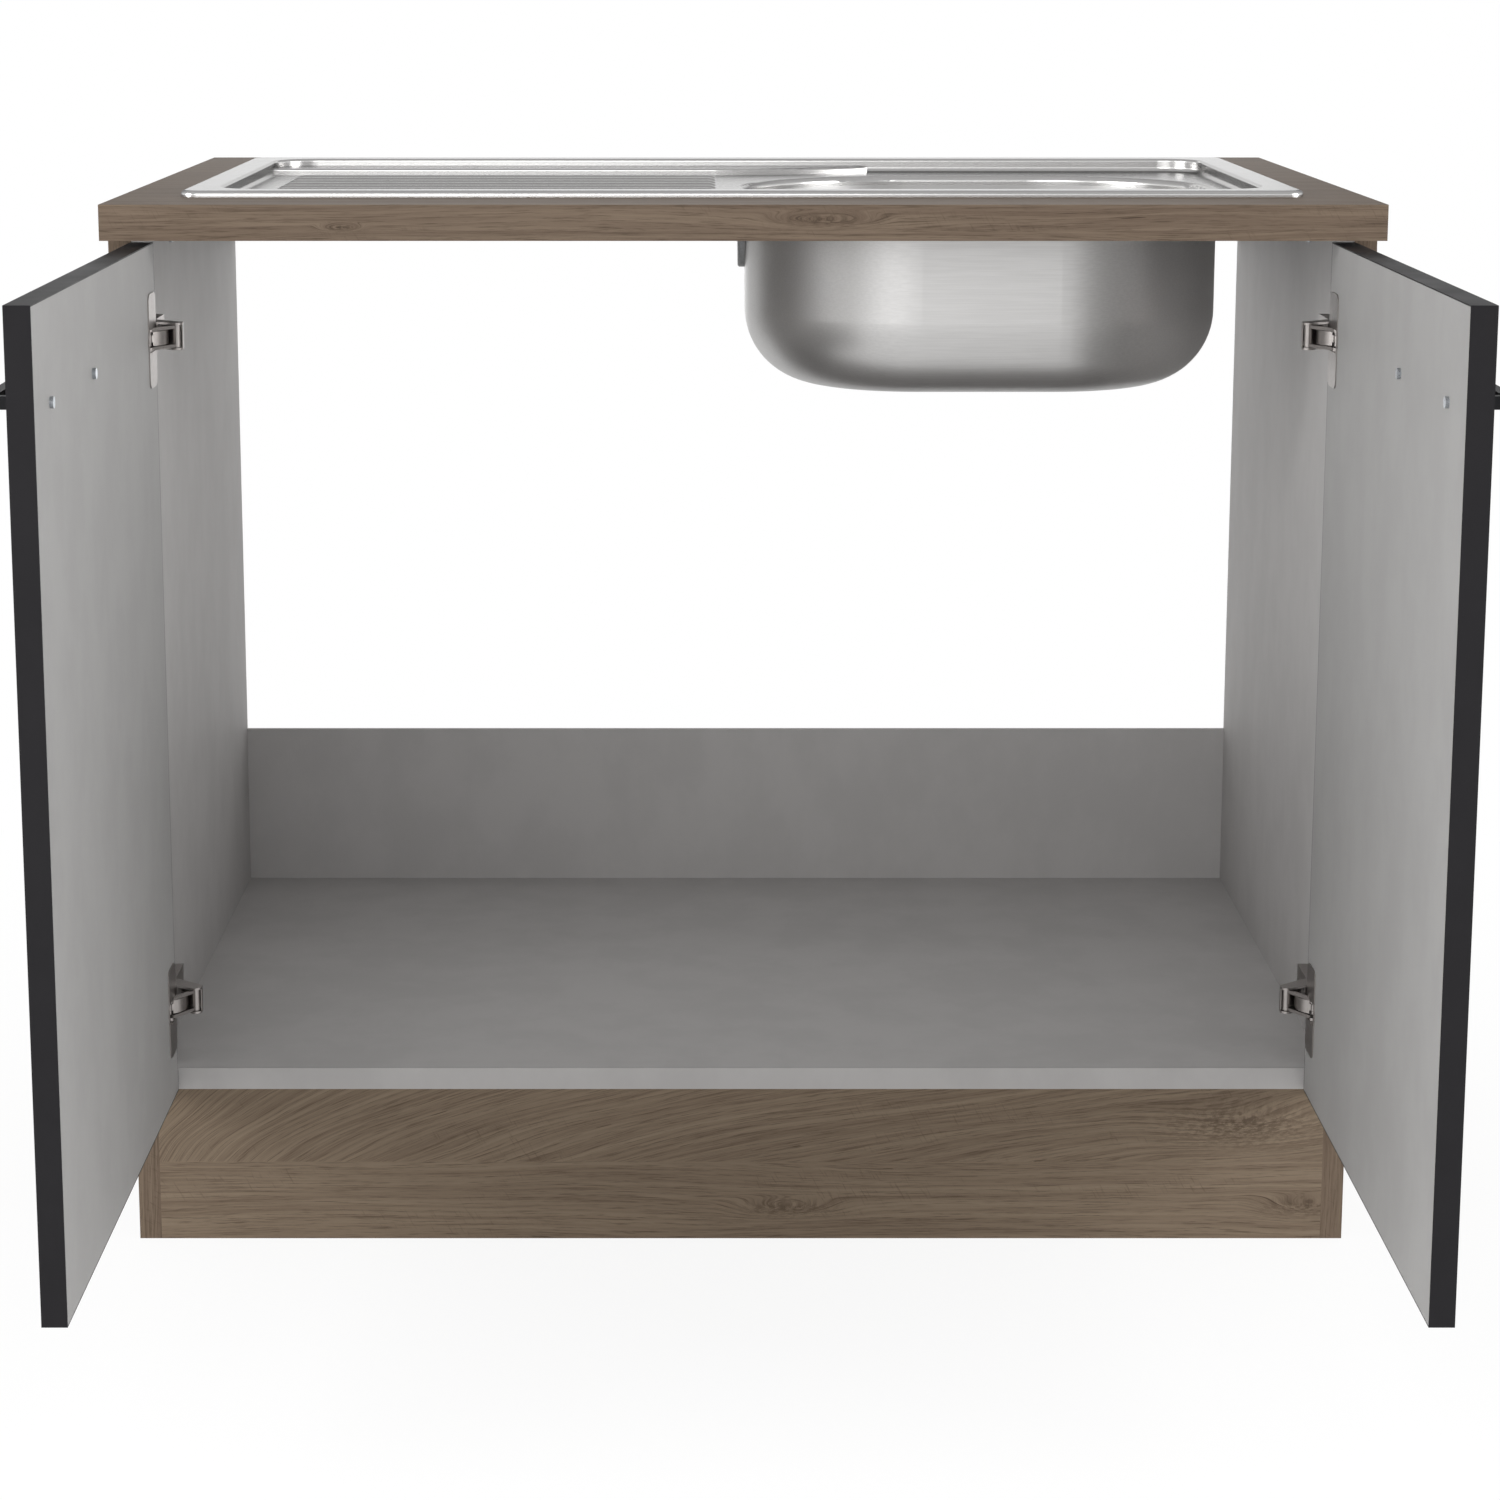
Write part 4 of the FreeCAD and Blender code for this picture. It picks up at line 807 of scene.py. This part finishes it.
@dataclass
class Studio:
    """Pale floor, white surroundings, soft boxes and the camera.

    Near the unit the floor shows as floor_shown, and turns white between white_from and white_at.
    The surroundings light the unit by ambient, falling to ambient_above over light_fades, and
    look white, falling to mirrored_above over mirror_fades. Both fades are heights of a direction.
    """

    floor_side: float = 300.0
    floor_tone: str = "FFFFFF"
    floor_rough: float = 0.9
    floor_shown: float = 0.88
    white_from: float = 0.5
    white_at: float = 1.6
    ambient: float = 0.85
    ambient_above: float = 0.5
    mirrored_above: float = 0.5
    light_fades: tuple[float, float] = (0.1, 0.8)
    mirror_fades: tuple[float, float] = (0.08, 0.4)
    sensor: float = 36.0
    lens: float = 81.8
    camera_place: tuple[float, float, float] = (-0.0278, -2.70, 1.0484)
    camera_pitch: float = 10.68
    shift: tuple[float, float] = (0.0284, -0.10)
    lamps: tuple[Lamp, ...] = (
        Lamp("soft_box_front", (-0.8, -3.4, 1.7), (0.0, 0.2, 0.3), 1.8, 28.0),
        Lamp("soft_box_left", (-3.0, -1.3, 1.3), (0.45, -0.3, 0.45), 1.6, 70.0),
        Lamp("soft_box_right", (3.0, -1.3, 1.3), (-0.45, -0.3, 0.45), 1.6, 70.0),
        Lamp("soft_box_back", (0.0, 3.2, 1.2), (0.0, 0.0, 0.4), 2.0, 20.0),
    )

    def build(self) -> None:
        """Builds the studio."""
        self.build_floor()
        self.build_world()
        self.build_camera()
        for lamp in self.lamps:
            lamp.build()

    def seen_ray(self, pattern: Pattern) -> Socket:
        """Tells the rays that show or mirror the surroundings from those that light the unit.

        Args:
            pattern: Tools of the material or the world.

        Returns:
            Socket that is 1 for camera, glossy and transmission rays, and 0 for others.
        """
        path = add(pattern.tree, "LightPath").outputs
        seen = pattern.math("MAXIMUM", path["Is Camera Ray"], path["Is Glossy Ray"])
        return pattern.math("MAXIMUM", seen, path["Is Transmission Ray"])

    def build_floor(self) -> None:
        """Lays the floor, which shows white and keeps the shadow."""
        mesh = bpy.data.meshes.new("floor")
        sheet = bmesh.new()
        bmesh.ops.create_grid(sheet, x_segments=1, y_segments=1, size=self.floor_side / 2)
        sheet.to_mesh(mesh)
        sheet.free()
        floor = bpy.data.objects.new("floor", mesh)
        bpy.context.scene.collection.objects.link(floor)
        made = bpy.data.materials.new("pale_floor")
        made.use_nodes = True
        pattern = Pattern(made.node_tree)
        shader = pattern.tree.nodes["Principled BSDF"]
        shader.inputs["Base Color"].default_value = linear(self.floor_tone)
        shader.inputs["Roughness"].default_value = self.floor_rough
        white = add(pattern.tree, "Emission", {"Strength": 1.0})
        away = add(pattern.tree, "VectorMath", {0: pattern.place()}, operation="LENGTH").outputs["Value"]
        shown = pattern.step(away, self.white_from, self.white_at, self.floor_shown, 1.0)
        share = pattern.math("MULTIPLY", self.seen_ray(pattern), shown)
        both = add(pattern.tree, "MixShader", {0: share, 1: shader.outputs[0], 2: white.outputs[0]})
        output = pattern.tree.nodes["Material Output"]
        pattern.tree.links.new(both.outputs[0], output.inputs["Surface"])
        mesh.materials.append(made)

    def build_world(self) -> None:
        """Surrounds the unit with white that darkens above, and lights it at a plain level.

        Steel lies nearly flat to the camera, so the darker part above draws its ribs and edges.
        """
        world = bpy.data.worlds.new("studio")
        bpy.context.scene.world = world
        world.use_nodes = True
        pattern = Pattern(world.node_tree)
        direction = add(pattern.tree, "TexCoord").outputs["Generated"]
        height = pattern.axes(direction, Axis.Z)[0]
        light = pattern.step(height, *self.light_fades, self.ambient, self.ambient_above)
        mirrored = pattern.step(height, *self.mirror_fades, 1.0, self.mirrored_above)
        seen = self.seen_ray(pattern)
        unseen = pattern.math("SUBTRACT", 1.0, seen)
        strength = pattern.math("ADD", pattern.math("MULTIPLY", mirrored, seen),
                                pattern.math("MULTIPLY", light, unseen))
        background = pattern.tree.nodes["Background"]
        background.inputs["Color"].default_value = (1.0, 1.0, 1.0, 1.0)
        pattern.tree.links.new(strength, background.inputs["Strength"])

    def build_camera(self) -> None:
        """Sets the camera: before the front, looking down a little, with a small shift."""
        data = bpy.data.cameras.new("camera")
        data.lens = self.lens
        data.sensor_width = self.sensor
        data.shift_x, data.shift_y = self.shift
        camera = bpy.data.objects.new("camera", data)
        bpy.context.scene.collection.objects.link(camera)
        camera.location = self.camera_place
        camera.rotation_euler = (math.radians(90.0 - self.camera_pitch), 0.0, 0.0)
        bpy.context.scene.camera = camera
        bpy.context.scene.view_settings.view_transform = "Standard"


def main() -> None:
    """Builds the sub-assemblies and the studio in order."""
    logging.basicConfig(level=logging.INFO, format="%(name)s: %(message)s")
    Carcass().build()
    Worktop().build()
    Sink().build()
    for hand in Hand:
        Door(hand).build()
    Studio().build()


if __name__ == "__main__":
    main()
